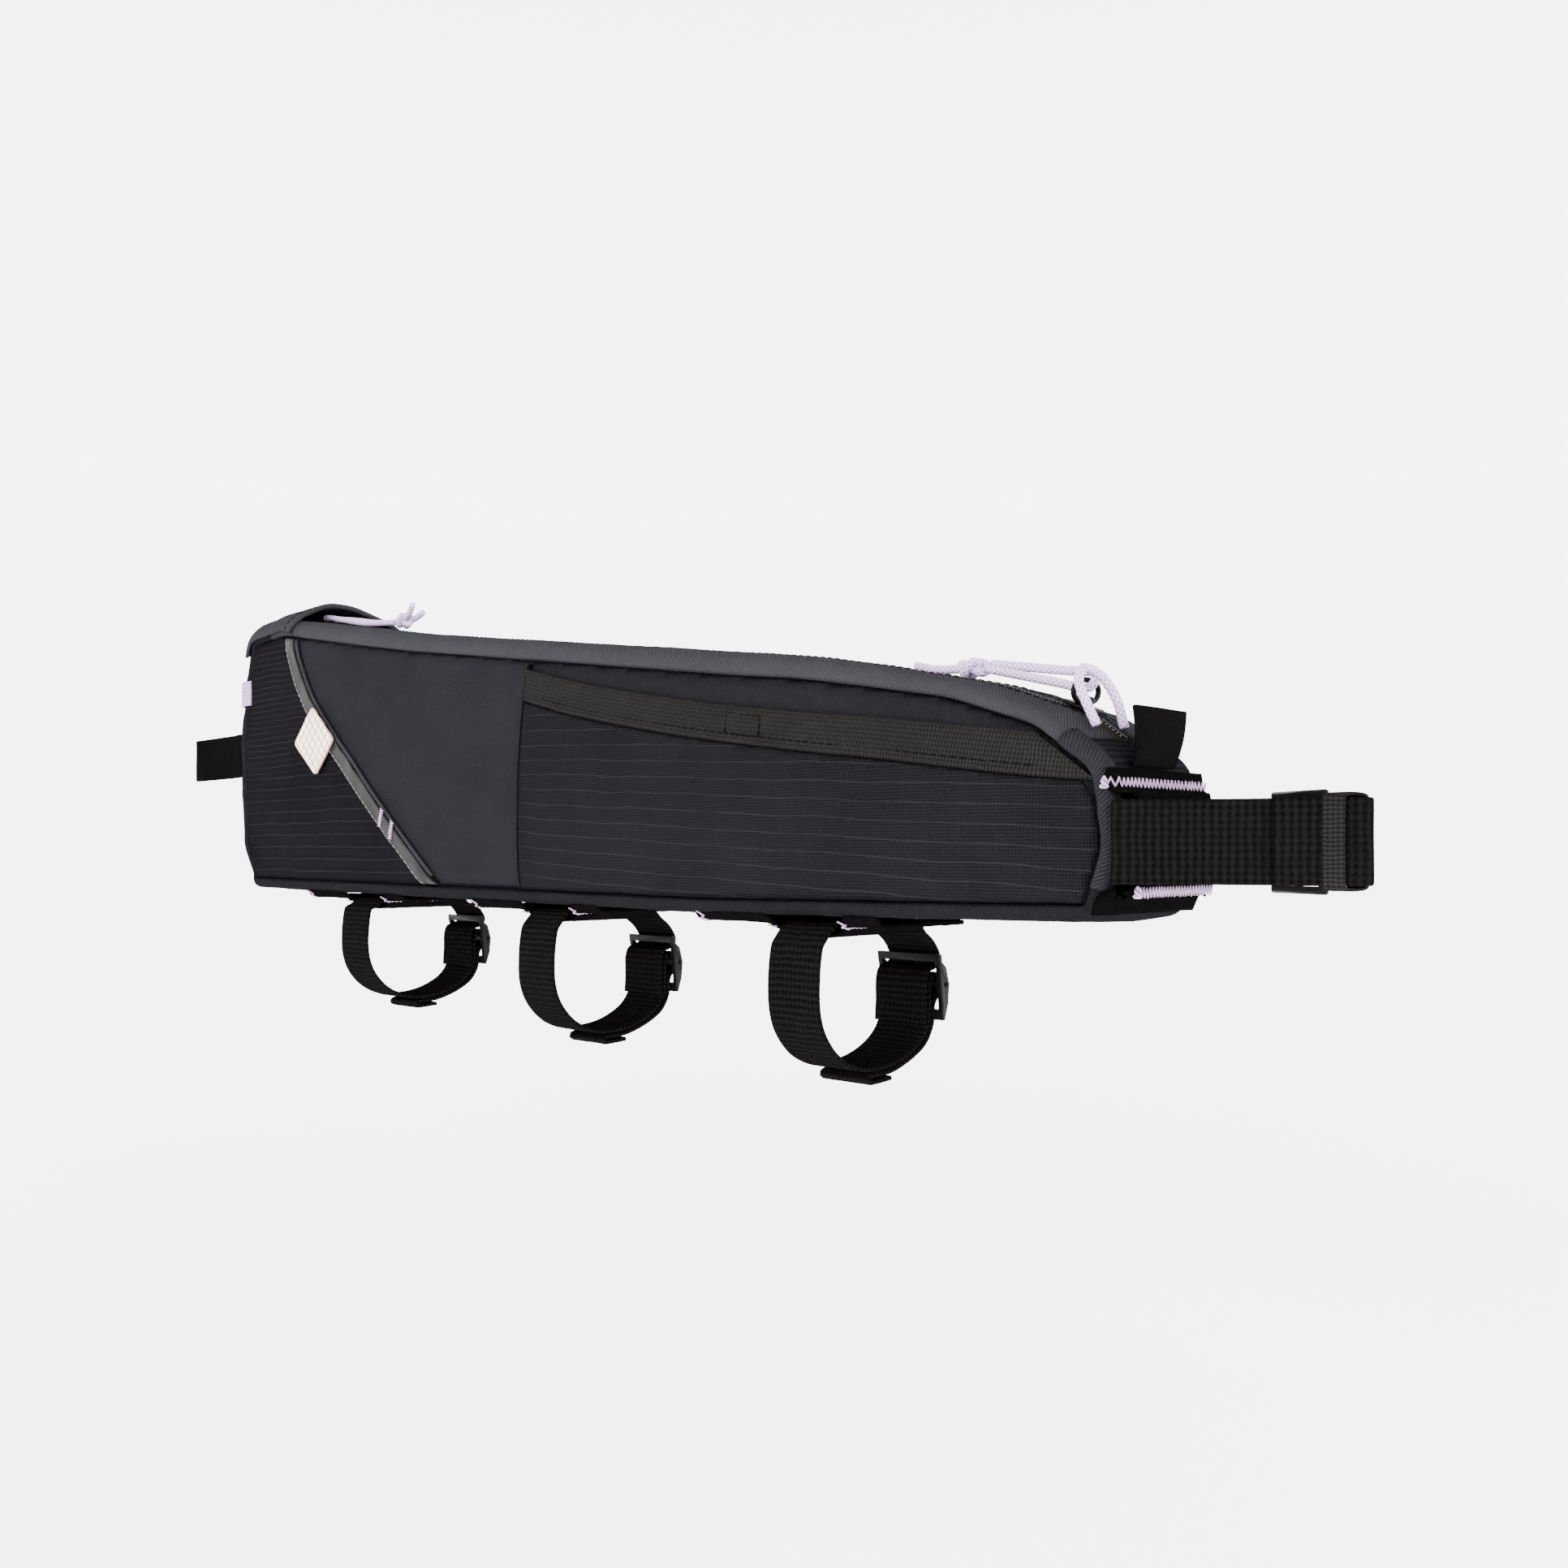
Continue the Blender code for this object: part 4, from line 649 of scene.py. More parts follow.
@dataclass(frozen=True)
class PlainWeave:
    """Flat woven cloth of crossing threads."""

    name: str
    colour: Colour
    warp: float = 0.0007
    weft: float = 0.0007
    depth: float = 0.0001
    roughness: float = 0.8
    contrast: float = 0.5
    mottle: float = 0.3

    def build(self) -> bpy.types.Material:
        """Make the material."""
        g = Graph(self.name)
        drift = g.noise(260.0, 1.0) * 0.0005
        threads = (g.u + drift).wave(self.warp) * (g.v + drift).wave(self.weft)
        fibre = g.noise(2200.0, 2.0)
        soft = g.noise(30.0, 3.0)
        tone = threads * self.contrast + fibre * 0.35 + (soft - 0.5) * self.mottle
        colour = g.mix(tone, shade(self.colour, 0.6), shade(self.colour, 1.5))
        height = threads * 0.7 + fibre * 0.4
        return g.finish(colour, self.roughness + (soft - 0.5) * 0.1, height, self.depth,
                        Specular_IOR_Level=0.0)


@dataclass(frozen=True)
class Ripstop:
    """Fine cloth with a raised grid of thicker threads."""

    name: str
    colour: Colour
    line: Colour
    along: float
    up: float
    width: float = 0.0009
    slant: float = 0.0
    depth: float = 0.00016
    between: float = 0.0

    def build(self) -> bpy.types.Material:
        """Make the material."""
        g = Graph(self.name)
        drift = (g.noise(40.0, 2.0) - 0.5) * 0.0022
        level = g.v + g.u * self.slant + drift
        uneven = g.noise(60.0, 2.0).ramp(0.3, 0.6) * 0.5 + 0.5
        lines_u = (g.u + drift * 0.6).lines(self.along, self.width * 0.7)
        grid = level.lines(self.up, self.width).largest(lines_u * 0.12) * uneven
        if self.between:
            upper = g.v.ramp(0.035, 0.07) * self.between + 0.1
            grid = grid.largest((level + self.up / 2.0).lines(self.up, self.width) * upper)
        fine = g.u.wave(0.0008) * g.v.wave(0.00085)
        fibre = g.noise(2300.0, 2.0)
        soft = g.noise(26.0, 3.0)
        ground = g.mix(fine * 0.75 + fibre * 0.3 + (soft - 0.5) * 0.4,
                       shade(self.colour, 0.55), shade(self.colour, 1.8))
        colour = g.mix(grid * 0.62, ground, self.line)
        height = grid * 1.0 + fine * 0.25 + fibre * 0.15
        return g.finish(colour, 0.72 + (soft - 0.5) * 0.12, height, self.depth,
                        Specular_IOR_Level=0.0)


@dataclass(frozen=True)
class Ribbed:
    """Webbing, grosgrain or zip tape with ribs along u, v or both."""

    name: str
    colour: Colour
    rib: float
    cord: float = 0.0
    depth: float = 0.0002
    roughness: float = 0.7
    contrast: float = 0.55

    def build(self) -> bpy.types.Material:
        """Make the material."""
        g = Graph(self.name)
        drift = (g.noise(180.0, 1.0) - 0.5) * 0.0008
        ribs = (g.u + drift).wave(self.rib)
        if self.cord:
            ribs = ribs * 0.65 + (g.v + ribs * 0.0002).wave(self.cord) * 0.35
        fibre = g.noise(1900.0, 3.0)
        soft = g.noise(48.0, 2.0)
        tone = ribs * self.contrast + fibre * 0.35 + (soft - 0.5) * 0.3
        colour = g.mix(tone, shade(self.colour, 0.3), shade(self.colour, 1.75))
        return g.finish(colour, self.roughness + (fibre - 0.5) * 0.2, ribs * 0.8 + fibre * 0.3,
                        self.depth, Specular_IOR_Level=0.0)


@dataclass(frozen=True)
class Velour:
    """Brushed cloth with a short soft pile."""

    name: str
    colour: Colour

    def build(self) -> bpy.types.Material:
        """Make the material."""
        g = Graph(self.name)
        pile = g.noise(1500.0, 3.0)
        strokes = g.noise(130.0, 3.0)
        colour = g.mix(pile * 0.6 + strokes * 0.5 - 0.1, shade(self.colour, 0.45),
                       shade(self.colour, 2.1))
        return g.finish(colour, 0.92 + (pile - 0.5) * 0.1, pile * 0.8 + strokes * 0.7, 0.00035,
                        Specular_IOR_Level=0.0)


@dataclass(frozen=True)
class BeadedTape:
    """Grey reflective tape, satin, with fine beads, soft wear and painted highlight streaks."""

    name: str
    colour: Colour

    def build(self) -> bpy.types.Material:
        """Make the material."""
        g = Graph(self.name)
        beads = g.noise(2600.0, 2.0)
        worn = g.noise(90.0, 4.0)
        # Painted highlight: broad lighter streaks stand in for the satin tape's sheen.
        sweep = g.noise(22.0, 1.0)
        tone = sweep.ramp(0.4, 0.62) * 0.5 + worn * 0.3 + beads * 0.2
        colour = g.mix(tone, shade(self.colour, 0.5), shade(self.colour, 1.7))
        return g.finish(colour, 0.44 + (worn - 0.5) * 0.25, beads * 0.4 + worn * 0.6, 0.00012,
                        Specular_IOR_Level=0.05)


@dataclass(frozen=True)
class TileMotif:
    """Cream rubbery patch printed with plain grey rhomb rows and a warm edge."""

    name: str
    ground: Colour
    ink: Colour
    edge: Colour

    def build(self) -> bpy.types.Material:
        """Make the material."""
        g = Graph(self.name)
        first = (g.u + g.v).lines(0.0052, 0.0008)
        second = (g.u - g.v).lines(0.0052, 0.0008)
        dots = (g.u.wave(0.0052) * g.v.wave(0.0052)).ramp(0.93, 0.99)
        fade = g.noise(420.0, 2.0).ramp(0.25, 0.5)
        ink = first.largest(second).largest(dots) * (fade * 0.3 + 0.7)
        soft = g.noise(120.0, 3.0)
        ground = g.mix(soft, shade(self.ground, 0.93), shade(self.ground, 1.03))
        colour = g.mix(ink, ground, self.ink)
        rim = Value(g, g.node("ShaderNodeAttribute", {"attribute_name": "rim"}).outputs["Fac"])
        colour = g.mix(rim.ramp(0.4, 0.8), colour, self.edge)
        pores = g.noise(900.0, 2.0)
        return g.finish(colour, 0.55 + (soft - 0.5) * 0.1, pores * 0.5 - ink * 0.4, 0.00008,
                        Specular_IOR_Level=0.4)


@dataclass(frozen=True)
class Moulded:
    """Black moulded plastic with a faint grain."""

    name: str
    colour: Colour
    roughness: float = 0.36

    def build(self) -> bpy.types.Material:
        """Make the material."""
        g = Graph(self.name, pattern=False)
        fine = g.noise(1400.0, 2.0)
        soft = g.noise(70.0, 2.0)
        colour = g.mix(soft * 0.6 + fine * 0.3, shade(self.colour, 0.8), shade(self.colour, 1.3))
        return g.finish(colour, self.roughness + (fine - 0.5) * 0.16 + (soft - 0.5) * 0.12,
                        fine * 0.6 + soft * 0.4, 0.00006, Specular_IOR_Level=0.04)


@dataclass(frozen=True)
class Braid:
    """Braided cord: slanting strands that cross round it."""

    name: str
    light: Colour
    dark: Colour
    strand: float = 0.0017

    def build(self) -> bpy.types.Material:
        """Make the material."""
        g = Graph(self.name)
        one = (g.u + g.v * 1.1).wave(self.strand)
        two = (g.u - g.v * 1.1).wave(self.strand)
        strands = one.largest(two)
        fibre = g.noise(2100.0, 3.0)
        soft = g.noise(190.0, 2.0)
        tone = strands ** 1.5 * 0.65 + fibre * 0.3 + soft * 0.2 - 0.05
        colour = g.mix(tone, self.dark, self.light)
        return g.finish(colour, 0.72, strands * 0.8 + fibre * 0.25, 0.00032,
                        Specular_IOR_Level=0.0)


@dataclass(frozen=True)
class Thread:
    """Sewing thread with a light twist."""

    name: str
    colour: Colour

    def build(self) -> bpy.types.Material:
        """Make the material."""
        g = Graph(self.name, pattern=False)
        fibre = g.noise(2600.0, 2.0)
        colour = g.mix(fibre, shade(self.colour, 0.75), shade(self.colour, 1.2))
        return g.finish(colour, 0.7, fibre, 0.00008, Specular_IOR_Level=0.02)


class Cloth(Enum):
    """Finishes of the bag, each with the record's material slot."""

    # The top band, front corner strip and gusset are one black twill in three shades of painted
    # light: lightest on top, darker on the front corner, darkest underneath.
    TOP_LIT_TWILL = ("twill", Twill("twill_painted_top_light", (0.0188, 0.0188, 0.0213)))
    UNDERSIDE_SHADE_TWILL = ("twill", Twill("twill_painted_underside_shade", (0.0056, 0.0056, 0.0067)))
    CORNER_HALF_SHADE_TWILL = ("twill", Twill("twill_painted_corner_shade", (0.0105, 0.0105, 0.0125)))
    CORDURA = ("twill", Twill("front_cordura", (0.0070, 0.0069, 0.0083), 0.0009, 0.00012, 0.84))
    SHELL = ("softshell", PlainWeave("softshell", (0.0112, 0.0109, 0.0133), 0.0006, 0.0006,
                                     0.00005, 0.8, 0.2, 0.35))
    REAR_RIPSTOP = ("ripstop", Ripstop("rear_ripstop", (0.0047, 0.0044, 0.0052),
                                       (0.0125, 0.0119, 0.0134), 0.0051, 0.0050, 0.0006,
                                       between=0.6))
    FRONT_RIPSTOP = ("ripstop", Ripstop("front_ripstop", (0.0061, 0.0059, 0.0070),
                                        (0.0150, 0.0145, 0.0162), 0.0052, 0.0050, 0.0005, 0.05))
    END_RIB = ("ripstop", Ribbed("front_rib_cloth", (0.0075, 0.0075, 0.0090), 0.0022, 0.0008,
                                 0.0002, 0.8))
    WEBBING = ("webbing", Ribbed("webbing", (0.0029, 0.0028, 0.0026), 0.0019, 0.0017, 0.0004,
                                 0.72, 0.95))
    FLAT_STRAP = ("webbing", Ribbed("flat_strap", (0.0032, 0.0032, 0.0033), 0.0007, 0.0,
                                    0.00006, 0.62, 0.25))
    GROSGRAIN = ("grosgrain", Ribbed("mouth_grosgrain", (0.0074, 0.0072, 0.0068), 0.0010, 0.0012,
                                     0.00016, 0.74, 0.85))
    VELOUR = ("velour", Velour("velour", (0.0019, 0.0018, 0.0018)))
    REFLECTIVE = ("reflective", BeadedTape("reflective_tape", (0.0088, 0.0082, 0.0083)))
    PATCH = ("patch_rubber", TileMotif("diamond_print", (0.95, 0.76, 0.60),
                                       (0.045, 0.038, 0.036), (0.36, 0.20, 0.15)))
    ZIP_TAPE = ("zip_tape", Ribbed("zip_tape", (0.021, 0.0175, 0.0155), 0.0008, 0.0011, 0.00012,
                                   0.8))
    COIL = ("zip_tape", Moulded("zip_coil", (0.0125, 0.0110, 0.0102), 0.45))
    HARDWARE = ("hardware", Moulded("buckle_plastic", (0.0035, 0.0035, 0.0040)))
    LILAC_CORD = ("lilac_cord", Braid("lilac_braid", (0.84, 0.64, 0.97), (0.24, 0.15, 0.33)))
    LILAC_TAPE = ("lilac_tape", Ribbed("lilac_tape", (0.42, 0.29, 0.50), 0.0010, 0.0014,
                                       0.00018, 0.78, 0.3))
    LABEL = ("label", Ribbed("label_weave", (0.0038, 0.0036, 0.0037), 0.0005, 0.0006, 0.00005,
                             0.66, 0.4))
    LILAC_THREAD = ("lilac_tape", Thread("lilac_thread", (0.40, 0.27, 0.43)))
    DARK_THREAD = ("webbing", Thread("dark_thread", (0.0014, 0.0014, 0.0015)))
    GREY_THREAD = ("reflective", Thread("grey_thread", (0.13, 0.123, 0.12)))

    @property
    def slot(self) -> str:
        """Material slot of the record."""
        return self.value[0]

    @lru_cache(maxsize=None)
    def material(self) -> bpy.types.Material:
        """The finish as a material, made once."""
        return self.value[1].build()


# Mesh making.
def dress(name: str, mesh: bmesh.types.BMesh, cloths: Sequence[Cloth],
          nodes: Sequence[str] = (), wall: float = 0.0) -> bpy.types.Object:
    """Turn a mesh into a finished piece that rides on the bag.

    Args:
        name: Name of the piece.
        mesh: Its shape, in metres of the frame; it is used up.
        cloths: Finishes, added in order as the piece's materials.
        nodes: CAD nodes that it replaces.
        wall: Thickness of cloth grown inwards, in millimetres.

    Returns:
        The piece.
    """
    data = bpy.data.meshes.new(name)
    mesh.to_mesh(data)
    mesh.free()
    for cloth in cloths:
        data.materials.append(cloth.material())
    for face in data.polygons:
        face.use_smooth = True
    item = bpy.data.objects.new(name, data)
    bpy.context.scene.collection.objects.link(item)
    if wall:
        grown = item.modifiers.new("wall", "SOLIDIFY")
        grown.thickness = wall * MM
        grown.offset = -1.0
    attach(item, "root")
    if nodes:
        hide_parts(*nodes)
    cloths[0].slot
    LOG.info("%s: %d faces", name, len(data.polygons))
    return item


def lattice(columns: int, rows: int, point: Callable[[int, int], Vector],
            pattern: Callable[[int, int], Point2]) -> bmesh.types.BMesh:
    """Grid of faces laid on a surface.

    Args:
        columns: Points along.
        rows: Points across.
        point: Place of a grid point from its column and row.
        pattern: UV of a grid point, in metres.

    Returns:
        The mesh, with its UV map.
    """
    mesh = bmesh.new()
    bmesh.ops.create_grid(mesh, x_segments=columns - 1, y_segments=rows - 1, size=1.0)
    mesh.verts.ensure_lookup_table()
    mesh.verts.index_update()
    layer = mesh.loops.layers.uv.new("pattern")
    for face in mesh.faces:
        for loop in face.loops:
            index = loop.vert.index
            loop[layer].uv = pattern(index % columns, index // columns)
    for index, vert in enumerate(mesh.verts):
        vert.co = point(index % columns, index // columns)
    return mesh


def turn_faces(mesh: bmesh.types.BMesh, direction: Vector) -> None:
    """Turn every face towards a direction."""
    mesh.normal_update()
    wrong = [face for face in mesh.faces if face.normal.dot(direction) < 0.0]
    bmesh.ops.reverse_faces(mesh, faces=wrong)


def close_up(mesh: bmesh.types.BMesh) -> None:
    """Merge doubles, fill the open ends and turn the faces outwards."""
    bmesh.ops.remove_doubles(mesh, verts=mesh.verts[:], dist=1e-6)
    rims = [edge for edge in mesh.edges if edge.is_boundary]
    if rims:
        bmesh.ops.holes_fill(mesh, edges=rims, sides=0)
    bmesh.ops.recalc_face_normals(mesh, faces=mesh.faces[:])


def strap_section(half: float, thick: float, cuts: int = 6) -> list[Point2]:
    """Closed section of webbing: flat with rounded edges.

    Args:
        half: Half of its width.
        thick: Its thickness.
        cuts: Faces across one flat side.

    Returns:
        Offsets across and out, ending on the first one.
    """
    rim = thick / 2.0
    flat = spread(-(half - rim), half - rim, cuts + 1)
    corner = [(math.sin(turn) * rim, math.cos(turn) * rim) for turn in spread(0.6, 2.54, 4)]
    top = [(value, rim) for value in flat]
    right = [(half - rim + across, out) for across, out in corner]
    low = [(value, -rim) for value in reversed(flat)]
    left = [(-(half - rim) - across, -out) for across, out in corner]
    return top + right + low + left + top[:1]


def sweep(path: Sequence[Vector], section: Sequence[Point2],
          sides: Callable[[int], tuple[Vector, Vector]],
          swell: Callable[[float, float], float] = lambda run, across: 0.0) -> bmesh.types.BMesh:
    """Closed body swept along a path in bag millimetres.

    Args:
        path: Points of its middle line.
        section: Offsets across and out.
        sides: Directions across and out at a point of the path.
        swell: Extra distance outwards from the running length and place across.

    Returns:
        The mesh.
    """
    runs = run_lengths(path)
    girth = run_lengths([Vector(pair) for pair in section])
    frames = [sides(index) for index in range(len(path))]
    wide = max(abs(across) for across, _ in section) > 3.0

    def point(column: int, row: int) -> Vector:
        """Place of one point of the skin."""
        across_way, out_way = frames[column]
        across, out = section[row]
        extra = swell(runs[column], across)
        spot = path[column] + across_way * across + out_way * (out + extra)
        return place(*spot)

    def pattern(column: int, row: int) -> Point2:
        """UV in metres along the path and across or round it."""
        return runs[column] * MM, (section[row][0] if wide else girth[row]) * MM

    mesh = lattice(len(path), len(section), point, pattern)
    close_up(mesh)
    return mesh


def planar_sides(path: Sequence[Vector], across: Vector, closed: bool = False
                 ) -> Callable[[int], tuple[Vector, Vector]]:
    """Frame of a strap whose width keeps one direction."""
    def sides(index: int) -> tuple[Vector, Vector]:
        """Directions across and out."""
        return across, heading(path, index, closed).cross(across).normalized()
    return sides


def round_sides(path: Sequence[Vector], closed: bool = False
                ) -> Callable[[int], tuple[Vector, Vector]]:
    """Frame of a cord, carried along without twisting.

    Args:
        path: Points of the cord's middle line.
        closed: True for a ring.

    Returns:
        Function from point number to the two directions square to the cord.
    """
    ways = [heading(path, index, closed) for index in range(len(path))]
    first = ways[0].orthogonal().normalized()
    frames = [(first, ways[0].cross(first))]
    for way in ways[1:]:
        side = frames[-1][0]
        side = (side - way * side.dot(way)).normalized()
        frames.append((side, way.cross(side)))
    if closed:
        frames[-1] = frames[0]
    return lambda index: frames[index]


def round_section(radius: float, sides: int = 14) -> list[Point2]:
    """Closed round section, ending on its first point."""
    return [(radius * math.cos(turn), radius * math.sin(turn))
            for turn in spread(0.0, math.tau, sides + 1)]


def cord_mesh(path: Sequence[Vector], diameter: float, sides: int = 14,
              closed: bool = False) -> bmesh.types.BMesh:
    """Round cord along a path in bag millimetres."""
    return sweep(path, round_section(diameter / 2.0, sides), round_sides(path, closed))


def join_in(mesh: bmesh.types.BMesh, other: bmesh.types.BMesh) -> None:
    """Add another mesh to this one; the other is used up."""
    holder = bpy.data.meshes.new("part")
    other.to_mesh(holder)
    other.free()
    mesh.from_mesh(holder)
    bpy.data.meshes.remove(holder)


def bead(mesh: bmesh.types.BMesh, at: Vector, turn: Matrix, size: Vector) -> None:
    """Add one small rounded bead, its own length along the turned x axis."""
    matrix = Matrix.Translation(at) @ turn @ Matrix.Diagonal((*size, 1.0))
    bmesh.ops.create_uvsphere(mesh, u_segments=6, v_segments=4, radius=1.0,
                              matrix=matrix @ Matrix.Rotation(math.pi / 2.0, 4, "Y"))


def stitches(mesh: bmesh.types.BMesh, path: Sequence[Vector], out: Callable[[int], Vector],
             length: float = 2.3, pitch: float = 3.2, thick: float = 0.5) -> None:
    """Add a row of stitches, as small rounded beads, along a path.

    Args:
        mesh: Mesh that takes them.
        path: Points on the cloth, in bag millimetres.
        out: Direction away from the cloth at a point of the path.
        length: Length of a stitch.
        pitch: Distance from one stitch to the next.
        thick: Thickness of the thread.
    """
    runs = run_lengths(path)
    goal = pitch / 2.0
    while goal < runs[-1] - pitch / 3.0:
        low = min(bisect.bisect_right(runs, goal) - 1, len(path) - 2)
        share = (goal - runs[low]) / max(runs[low + 1] - runs[low], 1e-9)
        spot = path[low].lerp(path[low + 1], share)
        run = (path[low + 1] - path[low]).normalized()
        up = out(low)
        up = (up - run * up.dot(run)).normalized()
        turn = Matrix((run, run.cross(up), up)).transposed().to_4x4()
        size = Vector((length / 2.0, thick / 2.0, thick / 2.4)) * MM
        bead(mesh, place(*spot), turn, size)
        goal += pitch


def zigzag(middle: Sequence[Vector], side: Callable[[int], Vector], out: Callable[[int], Vector],
           half: float = 1.2, thick: float = 0.55) -> bmesh.types.BMesh:
    """Bartack: one thread that runs to and fro across a line.

    Args:
        middle: Points of the line, one for each turn of the thread.
        side: Direction across the line at a point.
        out: Direction away from the cloth at a point.
        half: Half of the bartack's width.
        thick: Thickness of the thread.

    Returns:
        The thread as a mesh.
    """
    path = []
    for index, spot in enumerate(middle):
        sway = half * (1.0 if index % 2 else -1.0) * (1.0 + 0.3 * grain(index * 0.9, 4.0))
        corner = spot + side(index) * sway
        path += [corner - side(index) * sway * 0.25 + out(index) * 0.10, corner - out(index) * 0.12]
    return cord_mesh(path, thick, 5)


def side_tape(form: BagForm, rows: Sequence[Vector], low: float, high: float, lift: float,
              thick: float, trims: Sequence[tuple[Vector, Vector]] = (),
              wave: float = 0.0) -> bmesh.types.BMesh:
    """Closed tape laid on the near side wall.

    Args:
        form: Shape of the bag.
        rows: Middle line in x and z.
        low: Place of one edge across the line.
        high: Place of the other edge.
        lift: Height of its outer face over the wall's cloth.
        thick: Its thickness.
        trims: Planes that cut its ends.
        wave: Height of its soft ripples.

    Returns:
        The mesh.
    """
    section = strap_section((high - low) / 2.0, thick, 7)
    runs = run_lengths(rows)

    def point(column: int, row: int) -> Vector:
        """Place of one point of the tape."""
        across, out = section[row]
        spot = rows[column] + across_run(rows, column) * ((low + high) / 2.0 + across)
        ripple = wave * grain(runs[column] / 9.0, across / 6.0, 7.0)
        return form.side_point(spot.x, spot.y, lift - thick / 2.0 + out + ripple)

    mesh = lattice(len(rows), len(section), point,
                   lambda column, row: (runs[column] * MM, section[row][0] * MM))
    bmesh.ops.remove_doubles(mesh, verts=mesh.verts[:], dist=1e-6)
    for point_on, normal in trims:
        geometry = mesh.verts[:] + mesh.edges[:] + mesh.faces[:]
        bmesh.ops.bisect_plane(mesh, geom=geometry, plane_co=point_on, plane_no=normal,
                               clear_outer=True, dist=1e-6)
    close_up(mesh)
    return mesh


def panel_mesh(form: BagForm, loop: Sequence[Vector], side: int, lift: float, step: float = 2.4,
               trims: Sequence[tuple[Vector, Vector]] = (),
               rim: Sequence[float] = (0.5, 0.9)) -> bmesh.types.BMesh:
    """Piece of side wall: a flat outline cut by a lattice, then laid on the form.

    Args:
        form: Shape of the bag.
        loop: Outline in x and z.
        side: -1 for the near side, 1 for the far side.
        lift: Height over the wall's cloth.
        step: Size of the lattice.
        trims: Planes that cut the outline, in bag millimetres.
        rim: Steps of the extra rows along its edge.

    Returns:
        The open mesh, facing outwards, with its UV map and the attribute rim.
    """
    mesh = bmesh.new()
    mesh.faces.new([mesh.verts.new((spot.x, 0.0, spot.y)) for spot in loop])
    for point, normal in trims:
        geometry = mesh.verts[:] + mesh.edges[:] + mesh.faces[:]
        bmesh.ops.bisect_plane(mesh, geom=geometry, plane_co=point, plane_no=normal,
                               clear_outer=True, dist=1e-4)
    for number, width in enumerate(rim):
        inner = [face for face in mesh.faces if len(face.verts) > 4] if number else mesh.faces[:]
        bmesh.ops.inset_region(mesh, faces=inner, thickness=width, use_even_offset=True)
    xs = [vert.co.x for vert in mesh.verts]
    zs = [vert.co.z for vert in mesh.verts]
    lines = [((value, 0, 0), (1, 0, 0)) for value in
             spread(min(xs), max(xs), max(int((max(xs) - min(xs)) / step), 2) + 1)[1:-1]]
    lines += [((0, 0, value), (0, 0, 1)) for value in
              spread(min(zs), max(zs), max(int((max(zs) - min(zs)) / step), 2) + 1)[1:-1]]
    for point, normal in lines:
        geometry = mesh.verts[:] + mesh.edges[:] + mesh.faces[:]
        bmesh.ops.bisect_plane(mesh, geom=geometry, plane_co=point, plane_no=normal, dist=1e-4)
    bmesh.ops.remove_doubles(mesh, verts=mesh.verts[:], dist=0.05)
    bmesh.ops.triangulate(mesh, faces=[face for face in mesh.faces if len(face.verts) > 4])
    layer = mesh.loops.layers.uv.new("pattern")
    edge_mark = mesh.verts.layers.float.new("rim")
    for face in mesh.faces:
        for corner in face.loops:
            corner[layer].uv = (corner.vert.co.x * MM, corner.vert.co.z * MM)
    for vert in mesh.verts:
        vert[edge_mark] = 1.0 if vert.is_boundary else 0.0
        vert.co = form.side_point(vert.co.x, vert.co.z, lift, side)
    turn_faces(mesh, Vector((0.0, side, 0.0)))
    return mesh


def node_copy(name: str, width: float, segments: int = 2) -> bmesh.types.BMesh:
    """Merged copy of a hard CAD node with its edges softened.

    Args:
        name: The node.
        width: Bevel, in millimetres.
        segments: Faces across a bevel.

    Returns:
        The mesh.
    """
    mesh = bmesh.new()
    mesh.from_mesh(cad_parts[name].data)
    bmesh.ops.remove_doubles(mesh, verts=mesh.verts[:], dist=2e-6)
    bmesh.ops.dissolve_limit(mesh, angle_limit=math.radians(2.0), verts=mesh.verts[:],
                             edges=mesh.edges[:], delimit={"NORMAL"})
    sharp = [edge for edge in mesh.edges
             if len(edge.link_faces) == 2 and edge.calc_face_angle(0.0) > math.radians(38.0)]
    bmesh.ops.bevel(mesh, geom=sharp, offset=width * MM, offset_type="OFFSET",
                    segments=segments, affect="EDGES", profile=0.5, material=-1,
                    clamp_overlap=True)
    bmesh.ops.recalc_face_normals(mesh, faces=mesh.faces[:])
    return mesh


def inside(loop: Sequence[Vector], point: Vector) -> bool:
    """True for a point inside a closed loop."""
    return sum(height > point.y for height in crossings(loop, point.x)) % 2 == 1


def stretch_of(loop: Sequence[Vector], test: Callable[[Vector], bool]) -> list[Vector]:
    """Part of a closed loop that passes a test, in order."""
    flags = [test(point) for point in loop]
    start = next(i for i in range(len(loop)) if flags[i] and not flags[i - 1])
    turned = list(zip(list(loop[start:]) + list(loop[:start]), flags[start:] + flags[:start]))
    return [point for point, flag in turned if flag]


def level_of(rows: Sequence[Vector], value: float, axis: int) -> float:
    """Other coordinate of a polyline where one coordinate has a value.

    Args:
        rows: Points in x and z.
        value: Wanted x or z.
        axis: 0 where the value is an x, 1 where it is a z.

    Returns:
        The z or x there.
    """
    for here, ahead in zip(rows, rows[1:]):
        low, high = sorted((here[axis], ahead[axis]))
        if low <= value <= high and high > low:
            share = (value - here[axis]) / (ahead[axis] - here[axis])
            return here[1 - axis] + (ahead[1 - axis] - here[1 - axis]) * share
    near = min((rows[0], rows[-1]), key=lambda row: abs(row[axis] - value))
    return near[1 - axis]


